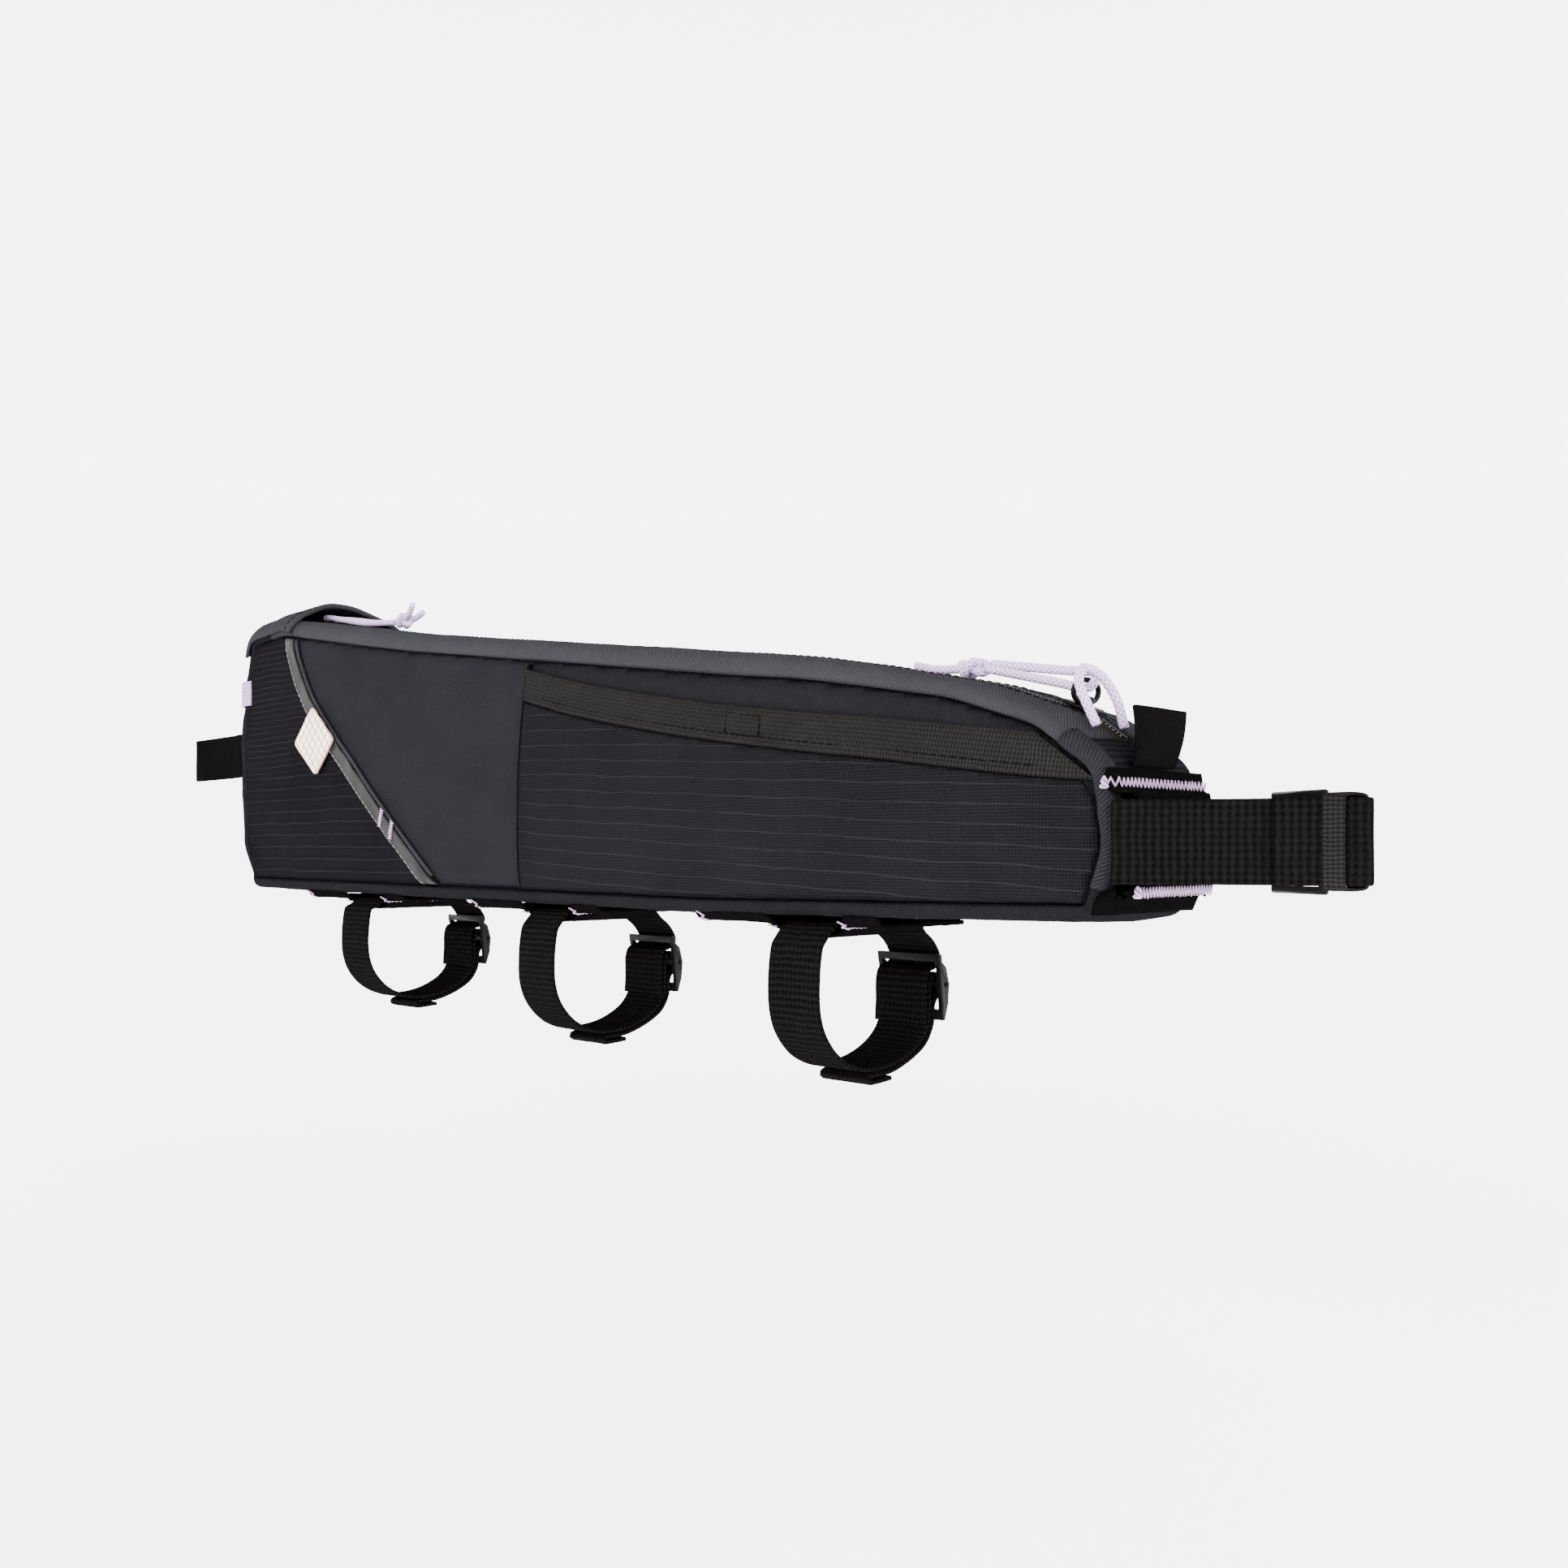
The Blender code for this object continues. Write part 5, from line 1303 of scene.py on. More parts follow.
# Sub-assemblies.
@dataclass
class Shell:
    """Twill bands, gusset, front panel and side walls."""

    form: BagForm
    step: float = 2.2
    band_edge: float = 6.0
    corner_stations: tuple[float, ...] = (-1.15, -1.0, -0.85, -0.65, -0.35, 0.0, 0.17, 0.34,
                                          0.5, 0.66, 0.83, 1.0)

    def skin(self, length: float, sign: int, corner: float, width: float,
             lift: float = 0.0) -> Vector:
        """Point of the strip that runs round the bag.

        Args:
            length: Running length on the outline.
            sign: -1 for the near half, 1 for the far half.
            corner: -1 at the side seam, 0 to 1 round the edge.
            width: 0 at the edge, 1 at the middle or at the zip.
            lift: Height over the cloth.

        Returns:
            The point in the frame.
        """
        outline = self.form.outline
        here, normal = outline.at(length), outline.outward(length)
        depth = self.form.seam_depth(length)
        half = half_width(here.x, sign)
        radius = min(depth - 1.2, 7.0)
        angle = max(corner, 0.0) * math.pi / 2.0
        inward = radius * (1.0 - math.cos(angle))
        below = max(-corner, 0.0)
        sunk = radius * (1.0 - math.sin(angle)) + (depth - radius) * min(below, 1.0)
        rolled = 1.5 * smoothstep((below - 0.55) / 0.45) + 1.2 * max(below - 1.0, 0.0) / 0.15
        across = half - inward
        inner = self.band_edge if normal.y > 0.5 else 0.0
        across += (inner - across) * width
        lumps = smoothstep((-normal.x - 0.3) / 0.4) * smoothstep((across - 15.0) / 6.0)
        near_seam = smoothstep((below + 0.4 - 0.6 * width) / 1.0)
        fold = 0.5 * grain(length / 4.6, sign * 3.0 + corner * 0.8) * near_seam
        fold += 0.22 * grain(length / 19.0, across / 15.0, sign)
        fold += 0.8 * lumps * grain(length / 9.0, 1.5) + lift
        out_share = math.sin(angle)
        side_share = math.cos(angle)
        point = here - normal * (sunk - CROWN * width - fold * out_share)
        return place(point.x, sign * (across - rolled + fold * side_share), point.y)

    def strip(self, start: float, end: float, stations: Sequence[tuple[int, float, float]],
              lift: float = 0.0) -> bmesh.types.BMesh:
        """Strip between two running lengths.

        Args:
            start: Running length of one end.
            end: Running length of the other end.
            stations: Side, corner and width of each row across.
            lift: Height over the cloth.

        Returns:
            The open mesh, facing outwards.
        """
        lengths = self.form.outline.stations(start, end, self.step)
        middle = lengths[len(lengths) // 2]
        row_points = [self.skin(middle, *station) for station in stations]
        widths = run_lengths(row_points)
        mesh = lattice(len(lengths), len(stations),
                       lambda column, row: self.skin(lengths[column], *stations[row], lift),
                       lambda column, row: (lengths[column] * MM, widths[row]))
        mesh.normal_update()
        total = sum((face.normal.dot(face.calc_center_median() - Vector((0, 0, 0.05)))
                     * face.calc_area() for face in mesh.faces))
        if total < 0.0:
            bmesh.ops.reverse_faces(mesh, faces=mesh.faces[:])
        return mesh

    def stations(self, signs: Sequence[int], cuts: int = 9) -> list[tuple[int, float, float]]:
        """Rows across a strip, from the near side to the far side."""
        rows: list[tuple[int, float, float]] = []
        for sign in signs:
            half = [(sign, corner, 0.0) for corner in self.corner_stations]
            half += [(sign, 1.0, width) for width in spread(0.0, 1.0, cuts)[1:]]
            rows += half if sign < 0 else half[::-1]
        if len(signs) == 2:
            rows.pop(len(rows) // 2)
        return rows

    def build(self) -> None:
        """Make the strips, the walls and their seams."""
        form = self.form
        ends = (form.rear_top + 0.15, form.shoulder - 0.15)
        for name, sign in (("top_band_near", -1), ("top_band_far", 1)):
            mesh = self.strip(*ends, self.stations((sign,)))
            dress(name + "_cloth", mesh, [Cloth.TOP_LIT_TWILL], [name], WALL)
        mesh = self.strip(form.front_low + 0.15, form.rear_top + form.total - 0.15,
                          self.stations((-1, 1)))
        dress("bottom_gusset_cloth", mesh, [Cloth.UNDERSIDE_SHADE_TWILL], ["bottom_gusset"], WALL)
        mesh = self.strip(form.shoulder + 0.15, form.front_low - 0.15, self.stations((-1, 1)))
        dress("front_panel_cloth", mesh, [Cloth.END_RIB], ["front_panel"], WALL)
        corner = [(-1, value, 0.0) for value in self.corner_stations[3:]]
        corner += [(-1, 1.0, value) for value in (0.05, 0.1, 0.13)]
        mesh = self.strip(form.shoulder - 3.0, form.front_low + 2.0, corner, 0.75)
        dress("front_corner_strip", mesh, [Cloth.CORNER_HALF_SHADE_TWILL], wall=0.7)
        self.build_walls()
        self.build_seams()

    def build_walls(self) -> None:
        """Make the side walls."""
        form, lean = self.form, SEAM_LEAN
        rear = [((SEAM_X - 0.15, 0, 0), (1, 0, -lean))]
        front = [((SEAM_X + 0.15, 0, 0), (-1, 0, lean))]
        mesh = panel_mesh(form, form.seam, -1, 0.0, 2.3, rear)
        dress("side_panel_near_cloth", mesh, [Cloth.SHELL], ["side_panel_near"], WALL)
        mesh = panel_mesh(form, form.seam, -1, 0.0, 2.3, front)
        dress("side_panel_front_cloth", mesh, [Cloth.CORDURA], ["side_panel_front"], WALL)
        mesh = panel_mesh(form, form.seam, 1, 0.0, 2.8)
        dress("side_panel_far_cloth", mesh, [Cloth.CORDURA], ["side_panel_far"], WALL)

    def build_seams(self) -> None:
        """Stitch the band edges along the zip and close the side seams from within."""
        form = self.form
        thread = bmesh.new()
        lengths = form.outline.stations(form.rear_top + 8.0, form.shoulder - 4.0, 1.6)
        for sign in (-1, 1):
            path = []
            for length in lengths:
                path.append(on_bag(self.skin(length, sign, 1.0, 0.9, 0.1)))
            normals = [form.outline.outward(length) for length in lengths]
            stitches(thread, path, lambda i: Vector((normals[i].x, 0.0, normals[i].y)),
                     2.2, 3.0, 0.42)
        dress("zip_edge_stitches", thread, [Cloth.DARK_THREAD])
        for name, sign in (("near", -1), ("far", 1)):
            path = [Vector((spot.x, sign * (half_width(spot.x, sign) - 3.2), spot.y))
                    for spot in form.seam[::2]]
            path.append(path[0])
            mesh = cord_mesh(path, 2.6, 8, True)
            dress("seam_tape_" + name, mesh, [Cloth.DARK_THREAD])


@dataclass
class Pockets:
    """Rear and front pocket with their tapes, bar threads and diamond patch."""

    form: BagForm
    gap: float = 0.3
    box: tuple[float, float] = (306.0, 321.0)
    bars: tuple[Point2, ...] = ((112.6, 28.6), (119.8, 23.7))

    def build(self) -> None:
        """Make both pockets."""
        middle = Vector((205.0, 50.0))
        self.inner = [point + (middle - point).normalized() * 0.5 for point in self.form.seam]
        self.diagonal = smooth_curve(DIAGONAL, 2.0)
        self.mouth = smooth_curve(MOUTH, 2.2)
        self.build_rear()
        self.build_front()
        self.build_diamond()

    def clipped(self, rows: Sequence[Point2], shift: float, start: float = -50.0) -> list[Vector]:
        """Curve moved sideways, where it lies within the seam and past start."""
        fine = smooth_curve(rows, 1.0)
        moved = [point + across_run(fine, index) * shift for index, point in enumerate(fine)]
        sides = (Vector((0.6, 0.0)), Vector((-0.6, 0.0)), Vector((0.0, 0.6)), Vector((0.0, -0.6)))
        kept = [point for point in moved if point.x > start
                and all(inside(self.form.seam, point + side) for side in sides)]
        return kept[::2]

    def on_cloth(self, rows: Sequence[Vector], shift: float, lift: float) -> list[Vector]:
        """Line on the near wall, beside a flat line, in bag millimetres."""
        path = []
        for index, row in enumerate(rows):
            spot = row + across_run(rows, index) * shift
            path.append(on_bag(self.form.side_point(spot.x, spot.y, lift)))
        return path

    def build_rear(self) -> None:
        """Rear pocket, its grey binding, lip and lilac bars."""
        form = self.form
        loop = stretch_of(self.inner, lambda p: p.x < level_of(self.diagonal, p.y, 1) - 1.5)
        mesh = panel_mesh(form, loop + self.clipped(DIAGONAL, 0.0), -1, self.gap + 1.0, 2.3)
        dress("rear_pocket_cloth", mesh, [Cloth.REAR_RIPSTOP], ["rear_pocket"], 1.0)
        trims = (form.seam_plane(30.0, 108.0), form.seam_plane(150.0, 2.0))
        lift = 2 * self.gap + 1.0 + TAPE
        mesh = side_tape(form, self.diagonal, -6.2, 0.2, lift, TAPE, trims, 0.5)
        dress("pocket_binding_tape", mesh, [Cloth.REFLECTIVE], ["pocket_binding"])
        trimmed = [row for row in self.diagonal if 5.0 < row.y < 106.0]
        lip = self.on_cloth(trimmed, 0.75, 1.1)
        dress("pocket_lip", cord_mesh(lip, 1.5, 8), [Cloth.TOP_LIT_TWILL])
        thread = bmesh.new()
        line = self.on_cloth(trimmed, -5.0, lift + 0.35)
        stitches(thread, line, lambda i: Vector((0, -1, 0)), 2.0, 3.1, 0.5)
        dress("binding_stitches", thread, [Cloth.GREY_THREAD])
        bars = bmesh.new()
        for x, z in self.bars:
            centre = Vector((x, z))
            way = Vector((2.4, 6.3)).normalized()
            spots = [centre + way * step for step in spread(-3.6, 3.6, 15)]
            middle = [on_bag(form.side_point(spot.x, spot.y, lift + 0.3)) for spot in spots]
            join_in(bars, zigzag(middle, lambda i: Vector((way.y, 0, -way.x)),
                                 lambda i: Vector((0, -1, 0)), 1.1, 0.5))
        dress("binding_bars", bars, [Cloth.LILAC_THREAD])

    def build_front(self) -> None:
        """Front pocket with its grosgrain edge and box stitch."""
        form, gap = self.form, self.gap
        hem = self.clipped(MOUTH, -(MOUTH_HALF + 0.5), seam_x(67.0) + 1.0)
        low = stretch_of(self.inner, lambda p: p.x > seam_x(p.y) + 1.5
                         and p.y < level_of(hem, p.x, 0) - 1.0)
        foot_x = seam_x(2.0) + 1.0
        foot = Vector((foot_x, form.seam_span(foot_x)[0] + 0.5))
        mesh = panel_mesh(form, low + [foot] + hem, -1, gap + 1.3, 2.2)
        dress("front_pocket_cloth", mesh, [Cloth.FRONT_RIPSTOP], ["front_pocket"], 1.0)
        start = (place(seam_x(72.6) + 1.0, 0.0, 72.6), Vector((-1.0, 0.0, SEAM_LEAN)))
        low_z, high_z = form.seam_span(seam_x(50.0))
        upright = [Vector((seam_x(z) + 0.1, z)) for z in spread(low_z + 1.5, high_z - 1.5, 60)]
        dress("upright_seam", cord_mesh(self.on_cloth(upright, 0.0, 0.9), 1.7, 8),
              [Cloth.DARK_THREAD])
        lift = WEBBING + 0.7
        mesh = side_tape(form, self.mouth, -MOUTH_HALF, MOUTH_HALF, lift, WEBBING,
                         (start, form.seam_plane(418.0, 40.0)), 0.7)
        dress("pocket_webbing_tape", mesh, [Cloth.GROSGRAIN], ["pocket_webbing"])
        thread = bmesh.new()
        rows = [row for row in self.mouth if 208.0 < row.x < 416.0]
        out = Vector((0.0, -1.0, 0.0))
        stitches(thread, self.on_cloth(rows, -2.9, lift + 0.1), lambda i: out, 2.3, 3.0, 0.45)
        low_x, high_x = self.box
        inner = [row for row in smooth_curve(MOUTH, 0.8) if low_x <= row.x <= high_x]
        for shift in (-2.9, 2.9):
            stitches(thread, self.on_cloth(inner, shift, lift + 0.1), lambda i: out, 2.0, 2.4, 0.6)
        for edge in (inner[0], inner[-1]):
            side = self.on_cloth([edge + Vector((0.0, value)) for value in spread(-2.9, 2.9, 6)],
                                 0.0, lift + 0.1)
            stitches(thread, side, lambda i: out, 1.8, 2.0, 0.6)
        dress("mouth_stitches", thread, [Cloth.DARK_THREAD])

    def build_diamond(self) -> None:
        """Printed diamond patch over the binding."""
        corners = [Vector(row) for row in DIAMOND]
        loop = []
        for index, corner in enumerate(corners):
            back = (corners[index - 1] - corner).normalized()
            ahead = (corners[(index + 1) % 4] - corner).normalized()
            for share in spread(0.0, 1.0, 6):
                loop.append(corner + back * 2.4 * (1 - share) ** 2 + ahead * 2.4 * share ** 2)
        lift = 3 * self.gap + 1.0 + 2 * TAPE + 0.2
        mesh = panel_mesh(self.form, loop, -1, lift, 1.4, rim=(0.45, 0.5))
        for vert in mesh.verts:
            if vert.is_boundary:
                vert.co.y += 0.25 * MM
        dress("diamond_patch_print", mesh, [Cloth.PATCH], ["diamond_patch"], TAPE)


@dataclass
class ZipLine:
    """Zip, sliders, ring, pull cords with knots and the cord arch."""

    form: BagForm
    tooth: float = 1.35
    bend: float = 3.4
    ring: tuple[float, float] = (5.7, 11.8)

    def build(self) -> None:
        """Make the cords first, then the zip."""
        outline = self.form.outline
        eyes = {}
        for name, at, height in (("front", (408.6, 52.2), 2.7), ("rear", (15.0, 116.5), 4.1)):
            length = outline.length_near(*at)
            eyes[name] = outline.at(length) + outline.outward(length) * height
            mesh = node_copy("zip_slider_" + name, 0.22)
            dress("slider_" + name, mesh, [Cloth.HARDWARE], ["zip_slider_" + name])
        self.build_cords(eyes["front"], eyes["rear"])
        self.build_zip()

    def build_cords(self, front: Vector, rear: Vector) -> None:
        """Ring, pull cords, knots and arch.

        Args:
            front: Eye of the front slider, in x and z.
            rear: Eye of the rear slider.
        """
        upward = Vector((0.16, 1.0)).normalized()
        rearward = Vector((-upward.y, upward.x))
        long, wide = self.ring
        shape = [(0.0, 0.0), (0.02, 0.5), (0.16, 0.85), (0.42, 1.0), (0.7, 0.92), (0.94, 0.6),
                 (1.0, 0.0)]
        shape += [(along, -across) for along, across in reversed(shape[1:-1])]
        loop = []
        for along, across in shape:
            spot = front + upward * along * long
            loop.append((spot.x, across * wide / 2.0, spot.y))
        mesh = cord_mesh(smooth_curve(loop, 0.8, True), 1.5, 12, True)
        dress("pull_ring", mesh, [Cloth.HARDWARE], ["zip_ring_front"])
        bar = front + upward * long
        wrap = []
        for number, angle in enumerate((-90.0, -130.0, -180.0, -230.0, -270.0)):
            turn = math.radians(angle)
            spot = bar + (rearward * math.cos(turn) + upward * math.sin(turn)) * 2.25
            wrap.append((spot.x, -1.5 + 0.75 * number, spot.y))
        lower = bar + rearward * 7.0 - upward * 1.5
        upper = bar + rearward * 7.0 + upward * 2.1
        front_rows = [(379.3, -1.4, 65.9), (lower.x, -1.8, lower.y), *wrap,
                      (upper.x, 1.8, upper.y), (379.3, 1.4, 67.4)]
        rear_rows = [(73.5, -1.5, 112.6), (52.0, -2.6, 114.4), (34.0, -3.3, 117.6)]
        for angle in (-90.0, -125.0, -180.0, -235.0, -270.0):
            turn = math.radians(angle)
            rear_rows.append((rear.x + self.bend * (1.0 + math.cos(turn)),
                              self.bend * math.sin(turn), rear.y))
        rear_rows += [(34.0, 3.3, 118.2), (52.0, 2.6, 115.2), (73.5, 1.5, 113.2)]
        arch_rows = [(420.4, -11.6, 47.2), (417.6, -12.2, 53.4), (414.9, -11.2, 59.0),
                     (414.4, -8.0, 62.4), (416.4, -3.6, 60.8), (419.4, -0.8, 54.8),
                     (421.0, 0.6, 47.2)]
        front_tail = [(372.0, -1.5, 66.6), (364.0, -2.6, 66.8), (356.4, -3.6, 68.4)]
        rear_tails = [[(78.6, -0.8, 113.0), (83.4, -1.2, 115.4), (87.0, -1.6, 118.6)],
                      [(78.6, 0.8, 112.8), (83.6, 1.8, 113.6), (88.2, 2.6, 115.6)]]
        front_knot = self.knot("front_pull_knot", (373.8, -0.2, 66.6), (5.2, 3.5, 2.6),
                               [front_tail])
        rear_knot = self.knot("rear_pull_knot", (77.8, 0.0, 112.9), (4.2, 3.4, 3.0), rear_tails)
        self.cord("front_pull_cord", front_rows, "knot", [front_knot])
        self.cord("rear_pull_cord", rear_rows, "knot", [rear_knot])
        self.cord("cord_arch", arch_rows, "object", [])

    def cord(self, name: str, rows: Sequence[Point3], far_end: str,
             with_pieces: Sequence[bpy.types.Object]) -> None:
        """Make one lilac cord.

        Args:
            name: CAD node that it replaces.
            rows: Its route, in bag millimetres.
            far_end: What is on its far end; not used.
            with_pieces: Pieces on it; not used.
        """
        path = smooth_curve(rows, 0.9)
        item = dress(name + "_braid", cord_mesh(path, CORD, 16), [Cloth.LILAC_CORD], [name])
        length = run_lengths(path)[-1] * MM
        route = [place(*spot) for spot in path[:-1:3]] + [place(*path[-1])]
        list(with_pieces)

    def knot(self, name: str, centre: Point3, size: Point3,
             tails: Sequence[Sequence[Point3]]) -> bpy.types.Object:
        """Overhand knot with its cut ends.

        Args:
            name: CAD node that it replaces.
            centre: Middle of the knot.
            size: Its half sizes.
            tails: Routes of the cut ends.

        Returns:
            The knot.
        """
        reach = [value - CORD / 2.0 + 0.15 for value in size]
        path = []
        for turn in spread(0.0, math.tau, 90):
            along = (math.sin(turn) + 2 * math.sin(2 * turn)) / 2.7
            across = (math.cos(turn) - 2 * math.cos(2 * turn)) / 2.7
            path.append(Vector((centre[0] + reach[0] * along, centre[1] + reach[1] * across,
                                centre[2] - reach[2] * math.sin(3 * turn))))
        mesh = cord_mesh(path, CORD, 14, True)
        for tail in tails:
            join_in(mesh, cord_mesh(smooth_curve(tail, 0.9), CORD, 14))
        return dress(name + "_braid", mesh, [Cloth.LILAC_CORD], [name])

    def build_zip(self) -> None:
        """Woven tape and the closed coil on it."""
        outline = self.form.outline
        lengths = outline.stations(self.form.rear_top + 4.0, self.form.shoulder - 0.5, 1.8)
        across = [(-5.6, -0.6), (-4.2, -0.55), (-2.9, -0.6), (-2.3, -0.1), (-1.5, 0.3),
                  (0.0, 0.1), (1.5, 0.3), (2.3, -0.1), (2.9, -0.6), (4.2, -0.55), (5.6, -0.6)]

        def point(column: int, row: int) -> Vector:
            """Place of one point of the tape."""
            y, height = across[row]
            at = lengths[column]
            wobble = 0.18 * grain(at / 12.0, y / 5.0)
            spot = outline.at(at) + outline.outward(at) * (height + wobble)
            return place(spot.x, y, spot.y)

        mesh = lattice(len(lengths), len(across), point,
                       lambda column, row: (lengths[column] * MM, across[row][0] * MM))
        turn_faces(mesh, Vector((0.2, 0.0, 1.0)))
        dress("zip_tape_cloth", mesh, [Cloth.ZIP_TAPE], ["zip_tape"], 0.9)
        coil = bmesh.new()
        length = lengths[0] + 1.0
        while length < lengths[-1] - 1.0:
            spot = outline.at(length) + outline.outward(length) * 0.35
            normal = outline.outward(length)
            up = Vector((normal.x, 0.0, normal.y))
            for sign in (-1.0, 1.0):
                run = Vector((normal.y * 0.42, sign, -normal.x * 0.42)).normalized()
                turn = Matrix((run, up.cross(run), up)).transposed().to_4x4()
                size = Vector((1.25, 0.42, 0.45)) * MM
                bead(coil, place(spot.x, sign * 0.95, spot.y), turn, size)
            length += self.tooth
        dress("zip_coil", coil, [Cloth.COIL])


@dataclass
class Hood:
    """Arched flap over the rear end of the zip."""

    form: BagForm
    radius: float = 6.6
    base: float = 1.9
    rows: list[Point2] = field(default_factory=list)

    def skin(self, y: float, height: float, station: float, back: float, front: float,
             lift: float = 0.0) -> Vector:
        """Point of the flap in bag millimetres.

        Args:
            y: Place across.
            height: Height over the outline where the flap lies flat.
            station: Running length before the arch draws it back.
            back: Running length of its rear edge.
            front: Running length of its free edge.
            lift: Height over the flap's cloth.

        Returns:
            The point.
        """
        along = (station - back) / (front - back)
        arch = max(math.cos(math.pi * y / 52.0), 0.0) ** 1.3
        length = station - 9.0 * arch * along
        rise = height + 7.2 * arch * math.sin(max(along, 0.0) * math.pi / 2.0) ** 0.38
        rise += 0.35 * grain(station / 8.0, y / 7.0, 9.0) + lift
        spot = self.form.outline.at(length) + self.form.outline.outward(length, 5.0) * rise
        return Vector((spot.x, y * (1.0 + lift / 60.0), spot.y))

    def build(self) -> None:
        """Make the flap with its bound edge."""
        for angle in spread(82.0, 0.0, 9):
            turn, outer = math.radians(angle), self.radius + self.base
            self.rows.append((-(HALF_WIDTH - self.radius + outer * math.sin(turn)),
                              outer * math.cos(turn) - self.radius))
        edge = self.rows[-1][0]
        self.rows += [(y, self.base) for y in spread(edge, 0.0, 10)[1:]]
        self.rows += [(-y, height) for y, height in reversed(self.rows[:-1])]
        outline = self.form.outline
        back, front = outline.length_near(-13.0, 104.0), outline.length_near(32.0, 115.0)
        lengths = spread(back, front, 34)
        widths = run_lengths([Vector(row) for row in self.rows])

        def point(column: int, row: int) -> Vector:
            """Place of one point of the flap."""
            return place(*self.skin(*self.rows[column], lengths[row], back, front))

        mesh = lattice(len(self.rows), len(lengths), point,
                       lambda column, row: (widths[column] * MM, lengths[row] * MM))
        turn_faces(mesh, Vector((-0.4, 0.0, 1.0)))
        dress("hood_cloth", mesh, [Cloth.TOP_LIT_TWILL], ["hood"], 1.2)
        rim = [self.skin(y, height, front, back, front, -0.5) for y, height in self.rows]
        dress("hood_binding", cord_mesh(smooth_curve(rim, 1.5), 2.3, 10), [Cloth.TOP_LIT_TWILL])
        thread = bmesh.new()
        line = [self.skin(y, height, front - 3.2, back, front, 0.1) for y, height in self.rows]
        stitches(thread, smooth_curve(line, 1.0), lambda i: Vector((-0.2, 0.0, 1.0)),
                 2.2, 3.0, 0.42)
        dress("hood_stitches", thread, [Cloth.DARK_THREAD])


@dataclass
class StrapLoops:
    """Velour patches underneath with their strap loops and buckles."""

    form: BagForm
    near: float = -20.6
    wide_near: float = -25.8
    far: float = 14.0
    bars: tuple[float, ...] = (-42.8, -14.0, 14.6)

    def build(self) -> None:
        """Make the three loops."""
        bars = bmesh.new()
        for name, x, drop in LOOPS:
            self.build_one(name, x, LOOP_DROP - drop, bars)
        dress("patch_bars", bars, [Cloth.LILAC_THREAD])

    def build_one(self, name: str, x: float, rise: float, bars: bmesh.types.BMesh) -> None:
        """Make one loop.

        Args:
            name: Its name.
            x: Middle of its strap.
            rise: How much shallower it is than the deepest loop.
            bars: Mesh that takes its lilac bars.
        """
        base = min(self.form.underside(x - 45.0), self.form.underside(x),
                   self.form.underside(x + 28.0)) - CROWN
        ground = base - (0.3 + VELOUR / 2.0)
        tunnel = base - (1.3 + WEBBING / 2.0 + 0.3 + VELOUR)
        rows = ((x - 45.0, ground), (x - 20.0, ground), (x - 15.0, ground - 0.3),
                (x - 11.2, tunnel), (x + 11.2, tunnel - 0.2), (x + 15.0, ground - 0.3),
                (x + 20.0, ground - 0.2), (x + 28.0, ground - 0.2))
        path = smooth_curve(rows, 1.5)
        runs = run_lengths(path)
        shares = spread(0.0, 1.0, 26)

        def skin(spot: Vector, share: float, lift: float = 0.0) -> Vector:
            """Point on the lower face of the patch, in bag millimetres."""
            outer = smoothstep((abs(spot.x - x) - 12.6) / 2.6)
            near = self.near + (self.wide_near - self.near) * outer
            y = near + (self.far - near) * share
            curl = 0.26 * max(-y - 22.2, 0.0) ** 1.9
            nap = 0.18 * grain(spot.x / 4.0, y / 4.0, 3.0)
            return Vector((spot.x, y, spot.y - VELOUR / 2.0 - lift + curl + nap))

        mesh = lattice(len(path), len(shares),
                       lambda column, row: place(*skin(path[column], shares[row])),
                       lambda column, row: (runs[column] * MM, shares[row] * 0.035))
        turn_faces(mesh, Vector((0.0, 0.0, -1.0)))
        dress("bottom_patch_" + name + "_pile", mesh, [Cloth.VELOUR], ["bottom_patch_" + name],
              VELOUR)
        for offset in self.bars:
            spot = Vector((x + offset, level_of(path, x + offset, 0)))
            middle = [skin(spot, share, 0.1 if share < 0.1 else -0.16)
                      for share in spread(0.0, 1.0, 44)]
            join_in(bars, zigzag(middle, lambda i: Vector((1, 0, 0)),
                                 lambda i: Vector((0, -0.4, -1)), 1.25, 0.55))
        points = []
        for spot in smooth_curve(LOOP_PATH, 1.1) + self.hem():
            shift = base * smoothstep((spot.y + 12.0) / 8.0)
            shift += rise * smoothstep((-spot.y - 2.0) / 10.0)
            points.append(Vector((x, spot.x, spot.y + shift)))
        points = even(points, 1.1)
        across = Vector((1.0, 0.0, 0.0))
        mesh = sweep(points, strap_section(10.0, WEBBING, 8), planar_sides(points, across),
                     lambda run, side: 0.10 * grain(run / 9.0, side / 8.0, x))
        dress("loop_strap_" + name + "_webbing", mesh, [Cloth.WEBBING], ["loop_strap_" + name])
        mesh = node_copy("loop_buckle_" + name, 0.3)
        dress("buckle_" + name, mesh, [Cloth.HARDWARE], ["loop_buckle_" + name])

    def hem(self) -> list[Vector]:
        """Folded end of the strap's tail."""
        return smooth_curve(((-4.9, -49.35), (-6.2, -49.7), (-6.9, -50.5), (-6.2, -51.3),
                             (-4.4, -51.4), (3.0, -50.9)), 0.8)


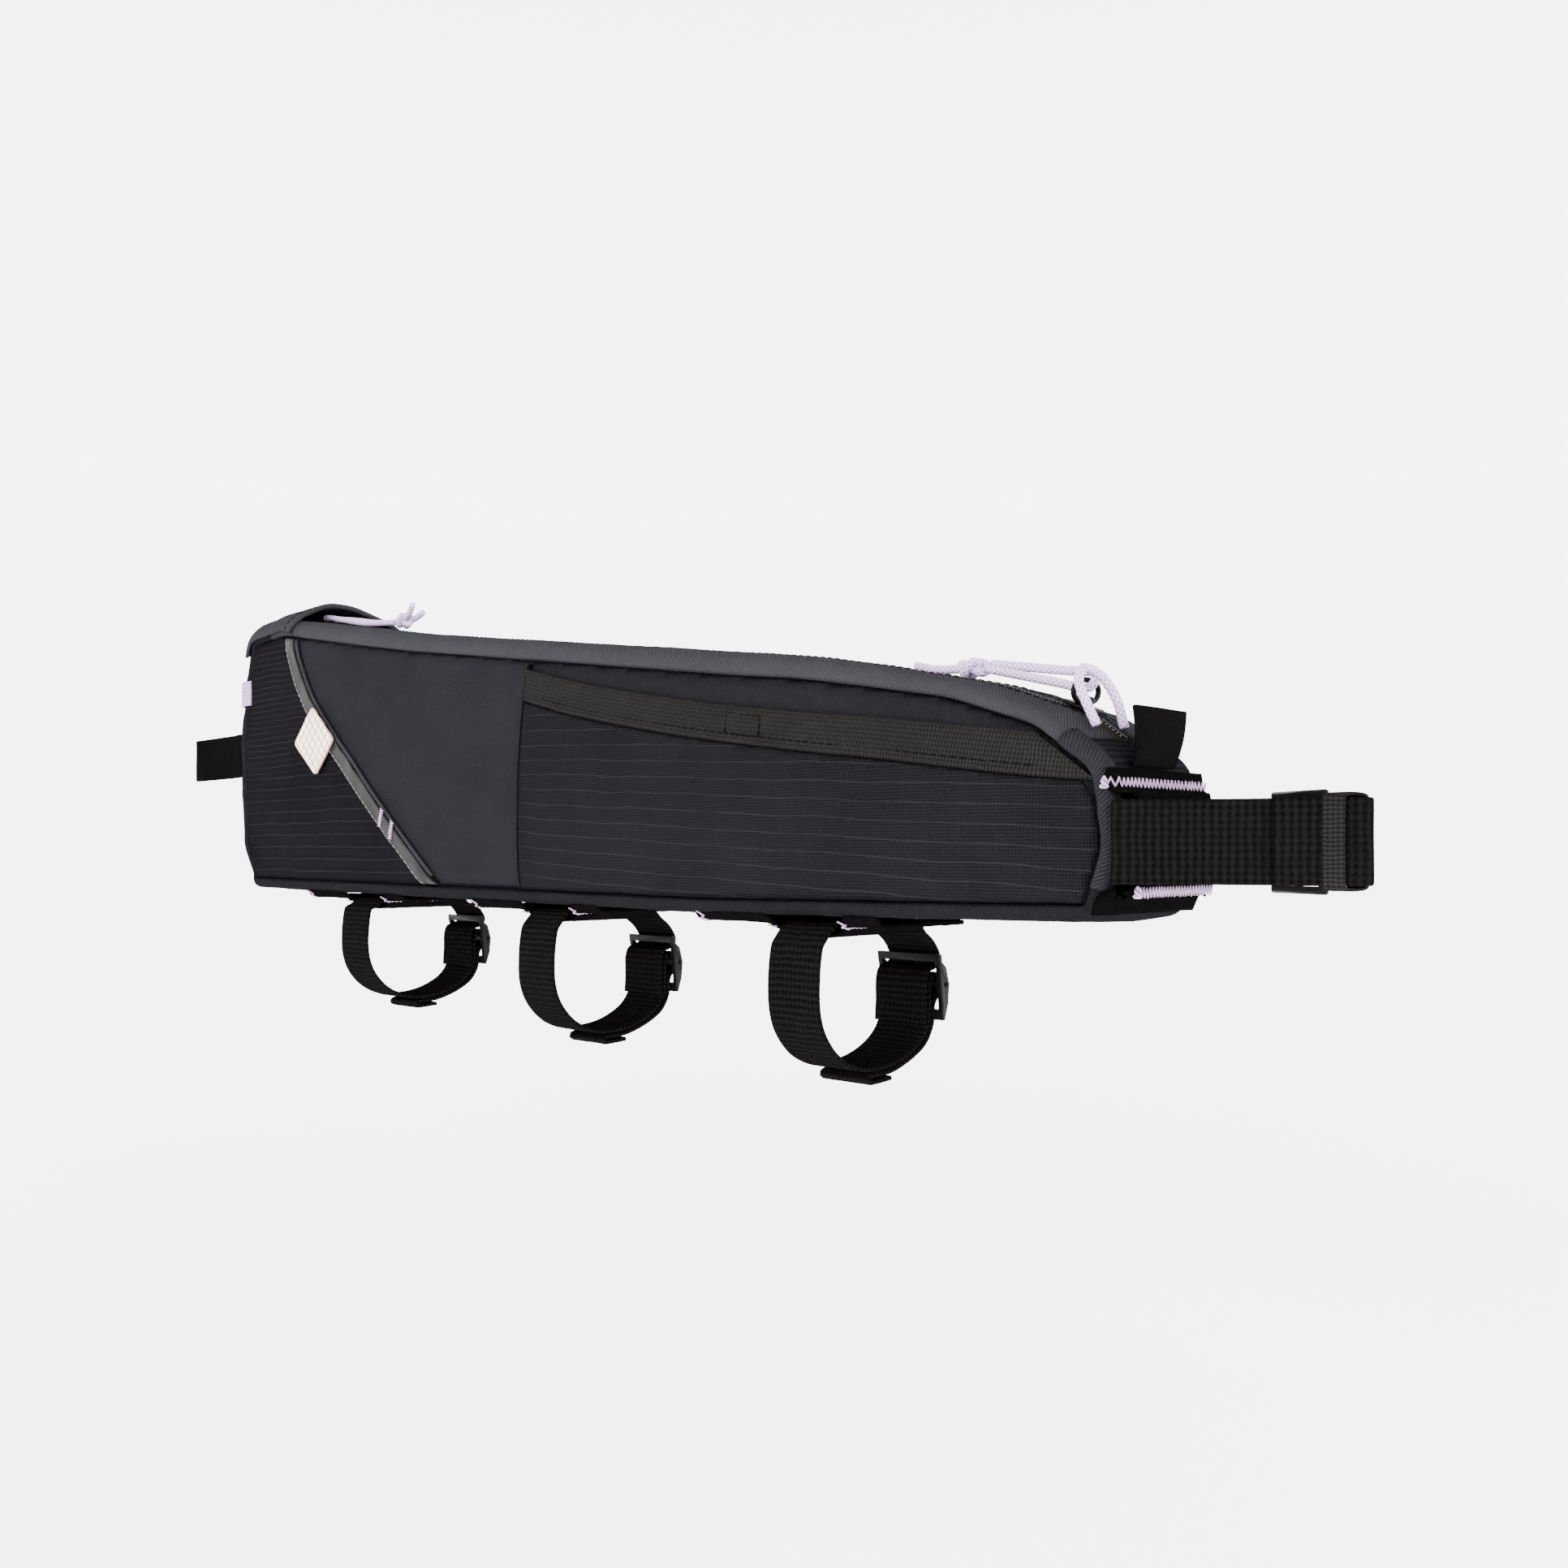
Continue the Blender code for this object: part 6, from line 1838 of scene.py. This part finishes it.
@dataclass
class FrontEnd:
    """Velour patch, strap loop with keeper and buckle, and the label."""

    form: BagForm
    bars: tuple[float, float] = (6.5, 31.8)
    hem_x: tuple[float, float] = (466.4, 468.6)

    def at_buckle(self, rows: Sequence[Point2]) -> list[Point2]:
        """Points along the buckle's plate and out from it, as x and y."""
        x, y, degrees = FRONT_BUCKLE
        turn = math.radians(degrees)
        return [(x + math.cos(turn) * along - math.sin(turn) * out,
                 y + math.sin(turn) * along + math.cos(turn) * out) for along, out in rows]

    def build(self) -> None:
        """Make every piece of the front end."""
        rows = self.at_buckle(FRONT_SEWN) + list(FRONT_PATH)
        rows += self.at_buckle(FRONT_THREADED) + list(FRONT_RETURN)
        path = level_curve(rows, FRONT_STRAP_Z, 1.1)
        across = Vector((0.0, 0.0, 1.0))
        mesh = sweep(path, strap_section(10.0, WEBBING, 8), planar_sides(path, across),
                     lambda run, side: 0.10 * grain(run / 8.0, side / 7.0, 4.0))
        dress("front_strap_webbing", mesh, [Cloth.WEBBING], ["front_strap"])
        dress("buckle_end", node_copy("front_buckle", 0.22), [Cloth.HARDWARE], ["front_buckle"])
        self.build_hem(path)
        self.build_patch()
        self.build_keeper()
        self.build_label()

    def build_hem(self, path: Sequence[Vector]) -> None:
        """Two stitched ridges across the strap near its keeper."""
        thread = bmesh.new()
        outer = [index for index, spot in enumerate(path)
                 if spot.y < -7.0 and 440.0 < spot.x < 476.0]
        for x in self.hem_x:
            index = min(outer, key=lambda i: abs(path[i].x - x))
            run = heading(path, index)
            out = Vector((run.y, -run.x, 0.0)) * (-1.0 if run.x < 0 else 1.0)
            line = [path[index] + out * (WEBBING / 2.0 + 0.2) + Vector((0.0, 0.0, z))
                    for z in spread(-9.2, 9.2, 12)]
            stitches(thread, line, lambda i: out, 2.2, 2.3, 1.0)
        dress("strap_hem_stitches", thread, [Cloth.DARK_THREAD])

    def skin(self, row: Vector, share: float, lift: float = 0.0) -> Vector:
        """Point on the outer face of the patch, in bag millimetres."""
        y = row[2] + (row[3] - row[2]) * share
        wrap = 2.6 * max((-y - 22.0) / 3.6, 0.0) ** 1.6
        nap = 0.16 * grain(row[1] / 4.0, y / 4.0, 6.0)
        return Vector((row[0] - wrap + VELOUR / 2.0 + nap + lift, y, row[1]))

    def build_patch(self) -> None:
        """Velour patch with a lilac bar above and below."""
        rows = smooth_curve(FRONT_PATCH, 1.3)
        shares = [share ** 1.3 for share in spread(0.0, 1.0, 34)]
        mesh = lattice(len(shares), len(rows),
                       lambda column, row: place(*self.skin(rows[row], shares[column])),
                       lambda column, row: (shares[column] * 0.042, rows[row][1] * MM))
        turn_faces(mesh, Vector((1.0, -0.3, 0.0)))
        dress("front_patch_pile", mesh, [Cloth.VELOUR], ["front_patch"], VELOUR)
        bars = bmesh.new()
        for z in self.bars:
            row = min(rows, key=lambda item: abs(item[1] - z))
            middle = [self.skin(row, share, 0.3) for share in spread(0.0, 1.0, 52)]
            join_in(bars, zigzag(middle, lambda i: Vector((0, 0, 1)),
                                 lambda i: Vector((1, -0.5, 0)), 1.35, 0.52))
            end = middle[0]
            tangle = [end + Vector((0.5 * math.sin(turn * 2.0), -0.5 + 0.7 * math.cos(turn * 3.0),
                                    1.2 * math.sin(turn))) for turn in spread(0.0, math.tau, 40)]
            join_in(bars, cord_mesh(tangle, 0.8, 6))
        dress("front_patch_bars", bars, [Cloth.LILAC_THREAD])

    def build_keeper(self) -> None:
        """Elastic band round the layers of the strap."""
        rows = ((-9.0, 8.8), (-8.7, 7.7), (-7.6, 7.3), (3.0, 7.3), (4.1, 7.7), (4.4, 8.8),
                (4.4, 27.0), (4.1, 28.1), (3.0, 28.5), (-7.6, 28.5), (-8.7, 28.1), (-9.0, 27.0))
        path = [Vector((479.4, y, z)) for y, z in smooth_curve(rows, 1.0, True)]
        across = Vector((1.0, 0.0, 0.0))
        mesh = sweep(path, strap_section(2.5, 0.8, 4), planar_sides(path, across, True))
        dress("keeper_elastic", mesh, [Cloth.GROSGRAIN], ["strap_keeper"])

    def build_label(self) -> None:
        """Bare woven label that stands up behind the patch."""
        def point(column: int, row: int) -> Vector:
            """Place of one point of the label."""
            across, up = column / 20.0, row / 16.0
            y = -14.0 + 19.6 * across + up * (3.4 + 6.6 * across)
            x = 432.4 + 0.8 * math.sin(up * math.pi) - 1.8 * up + 0.25 * math.sin(across * 5.0) * up
            return place(x, y, 36.3 + 15.5 * up)

        mesh = lattice(21, 17, point, lambda column, row: (column * 0.001, row * 0.001))
        turn_faces(mesh, Vector((1.0, 0.0, 0.0)))
        area = sum(face.calc_area() for face in mesh.faces)
        item = dress("label_cloth", mesh, [Cloth.LABEL], ["label"], TAPE)
        tall = LABEL_TALL * MM
        area / tall


@dataclass
class RearEnd:
    """Velour patch, flat strap and lilac loop for a light."""

    form: BagForm
    bars: tuple[float, ...] = (14.0, 45.0, 75.0)

    def build(self) -> None:
        """Make the rear end."""
        path = level_curve(REAR_PATH, REAR_STRAP_Z, 1.2)
        across = Vector((0.0, 0.0, 1.0))
        mesh = sweep(path, strap_section(10.0, WEBBING, 8), planar_sides(path, across),
                     lambda run, side: 0.08 * grain(run / 12.0, side / 9.0, 2.0))
        dress("rear_strap_webbing", mesh, [Cloth.FLAT_STRAP], ["rear_strap"])
        path = level_curve(LIGHT_LOOP, LIGHT_LOOP_Z, 1.1)
        mesh = sweep(path, strap_section(5.5, TAPE, 6), planar_sides(path, across),
                     lambda run, side: 0.12 * grain(run / 5.0, side / 4.0, 8.0))
        dress("light_loop_tape", mesh, [Cloth.LILAC_TAPE], ["light_loop"])
        self.build_patch()

    def build_patch(self) -> None:
        """Patch over the strap, with three lilac bars."""
        outline = self.form.outline
        rows = []
        for z in spread(9.0, 80.6, 64):
            length = outline.length_near(-20.0, z)
            over = smoothstep((z - 45.5) / 3.0) * smoothstep((74.0 - z) / 3.0)
            spot = outline.at(length) + outline.outward(length) * (CROWN + 1.3)
            rows.append(Vector((spot.x + (REAR_COVER_X - spot.x) * over, spot.y)))
        rows = even(rows, 1.3)
        ys = spread(-17.0, 17.0, 28)

        def skin(row: int, y: float, lift: float = 0.0) -> Vector:
            """Point on the outer face of the patch."""
            nap = 0.15 * grain(rows[row].y / 4.0, y / 4.0)
            spot = rows[row] + across_run(rows, row) * (VELOUR / 2.0 + lift + nap)
            return Vector((spot.x, y, spot.y))

        mesh = lattice(len(ys), len(rows), lambda column, row: place(*skin(row, ys[column])),
                       lambda column, row: (ys[column] * MM, rows[row].y * MM))
        turn_faces(mesh, Vector((-1.0, 0.0, 0.0)))
        dress("rear_patch_pile", mesh, [Cloth.VELOUR], ["rear_patch"], VELOUR)
        bars = bmesh.new()
        for z in self.bars:
            row = min(range(len(rows)), key=lambda i: abs(rows[i].y - z))
            middle = [skin(row, y, 0.3) for y in spread(-17.2, 17.2, 44)]
            join_in(bars, zigzag(middle, lambda i: Vector((0, 0, 1)), lambda i: Vector((-1, 0, 0)),
                                 1.25, 0.55))
        dress("rear_patch_bars", bars, [Cloth.LILAC_THREAD])


@dataclass
class Studio:
    """Camera, soft lights and a pale floor that rises behind."""

    floor: float = -0.115
    ground: Colour = (0.90, 0.90, 0.90)
    glow: float = 2.7

    def build(self) -> None:
        """Make the camera first, then the lights and the floor."""
        data = bpy.data.cameras.new("photo_camera")
        data.sensor_width = SENSOR
        data.lens = FOCAL_PIXELS / PHOTO_SIDE * SENSOR
        data.shift_y = (EYE_LEVEL_ROW - PHOTO_SIDE / 2.0) / PHOTO_SIDE
        data.clip_start = 0.01
        camera = bpy.data.objects.new("photo_camera", data)
        camera.location = CAMERA_AT
        camera.rotation_euler = Vector(CAMERA_WAY).to_track_quat("-Z", "Y").to_euler()
        bpy.context.scene.collection.objects.link(camera)
        bpy.context.scene.camera = camera
        world = bpy.data.worlds.new("studio")
        world.use_nodes = True
        back = world.node_tree.nodes["Background"]
        back.inputs["Color"].default_value = (1.0, 1.0, 1.0, 1.0)
        back.inputs["Strength"].default_value = 0.45
        bpy.context.scene.world = world
        self.light("key", (-0.25, -1.25, 1.15), 1.3, 16.0)
        self.light("fill", (1.45, -0.35, 0.65), 1.2, 6.5)
        self.light("top", (0.0, 0.3, 1.6), 1.6, 24.0)
        self.light("back", (-1.1, 0.9, 0.9), 1.2, 5.4)
        self.build_floor()

    def light(self, name: str, at: Point3, size: float, power: float) -> None:
        """Add one soft area light that faces the bag."""
        data = bpy.data.lights.new(name, "AREA")
        data.size = size
        data.energy = power
        item = bpy.data.objects.new(name, data)
        item.location = at
        way = Vector((0.0, 0.0, 0.04)) - Vector(at)
        item.rotation_euler = way.to_track_quat("-Z", "Y").to_euler()
        bpy.context.scene.collection.objects.link(item)

    def build_floor(self) -> None:
        """Round pale floor whose rim sweeps up."""
        mesh = bmesh.new()
        rows = [(0.02, 0.0), (1.0, 0.0), (2.2, 0.0)]
        rows += [(2.2 + math.sin(turn), 1.0 - math.cos(turn)) for turn in spread(0.2, 1.57, 9)]
        rows.append((3.2, 2.6))
        verts = [mesh.verts.new((radius, 0.0, self.floor + rise)) for radius, rise in rows]
        edges = [mesh.edges.new(pair) for pair in zip(verts, verts[1:])]
        bmesh.ops.spin(mesh, geom=verts + edges, cent=(0, 0, 0), axis=(0, 0, 1),
                       angle=math.tau, steps=64, use_merge=True)
        bmesh.ops.holes_fill(mesh, edges=[edge for edge in mesh.edges if edge.is_boundary
                                          and edge.verts[0].co.xy.length < 0.1], sides=0)
        bmesh.ops.recalc_face_normals(mesh, faces=mesh.faces[:])
        bmesh.ops.reverse_faces(mesh, faces=mesh.faces[:])
        data = bpy.data.meshes.new("studio_floor")
        mesh.to_mesh(data)
        mesh.free()
        for face in data.polygons:
            face.use_smooth = True
        graph = Graph("studio_floor", pattern=False)
        soft = graph.noise(2.0, 2.0)
        colour = graph.mix(soft, shade(self.ground, 0.985), self.ground)
        data.materials.append(graph.finish(colour, 0.9, Emission_Color=(1.0, 1.0, 1.0, 1.0),
                                           Emission_Strength=self.glow))
        item = bpy.data.objects.new("studio_floor", data)
        bpy.context.scene.collection.objects.link(item)


def main() -> None:
    """Build the bag, sub-assembly by sub-assembly, and its studio."""
    logging.basicConfig(level=logging.INFO, format="%(message)s")
    Studio().build()
    form = BagForm()
    for part in (ZipLine(form), Shell(form), Pockets(form), Hood(form), StrapLoops(form),
                 FrontEnd(form), RearEnd(form)):
        part.build()
        LOG.info("%s done", type(part).__name__)
    bpy.context.view_layer.update()


if __name__ == "__main__":
    main()
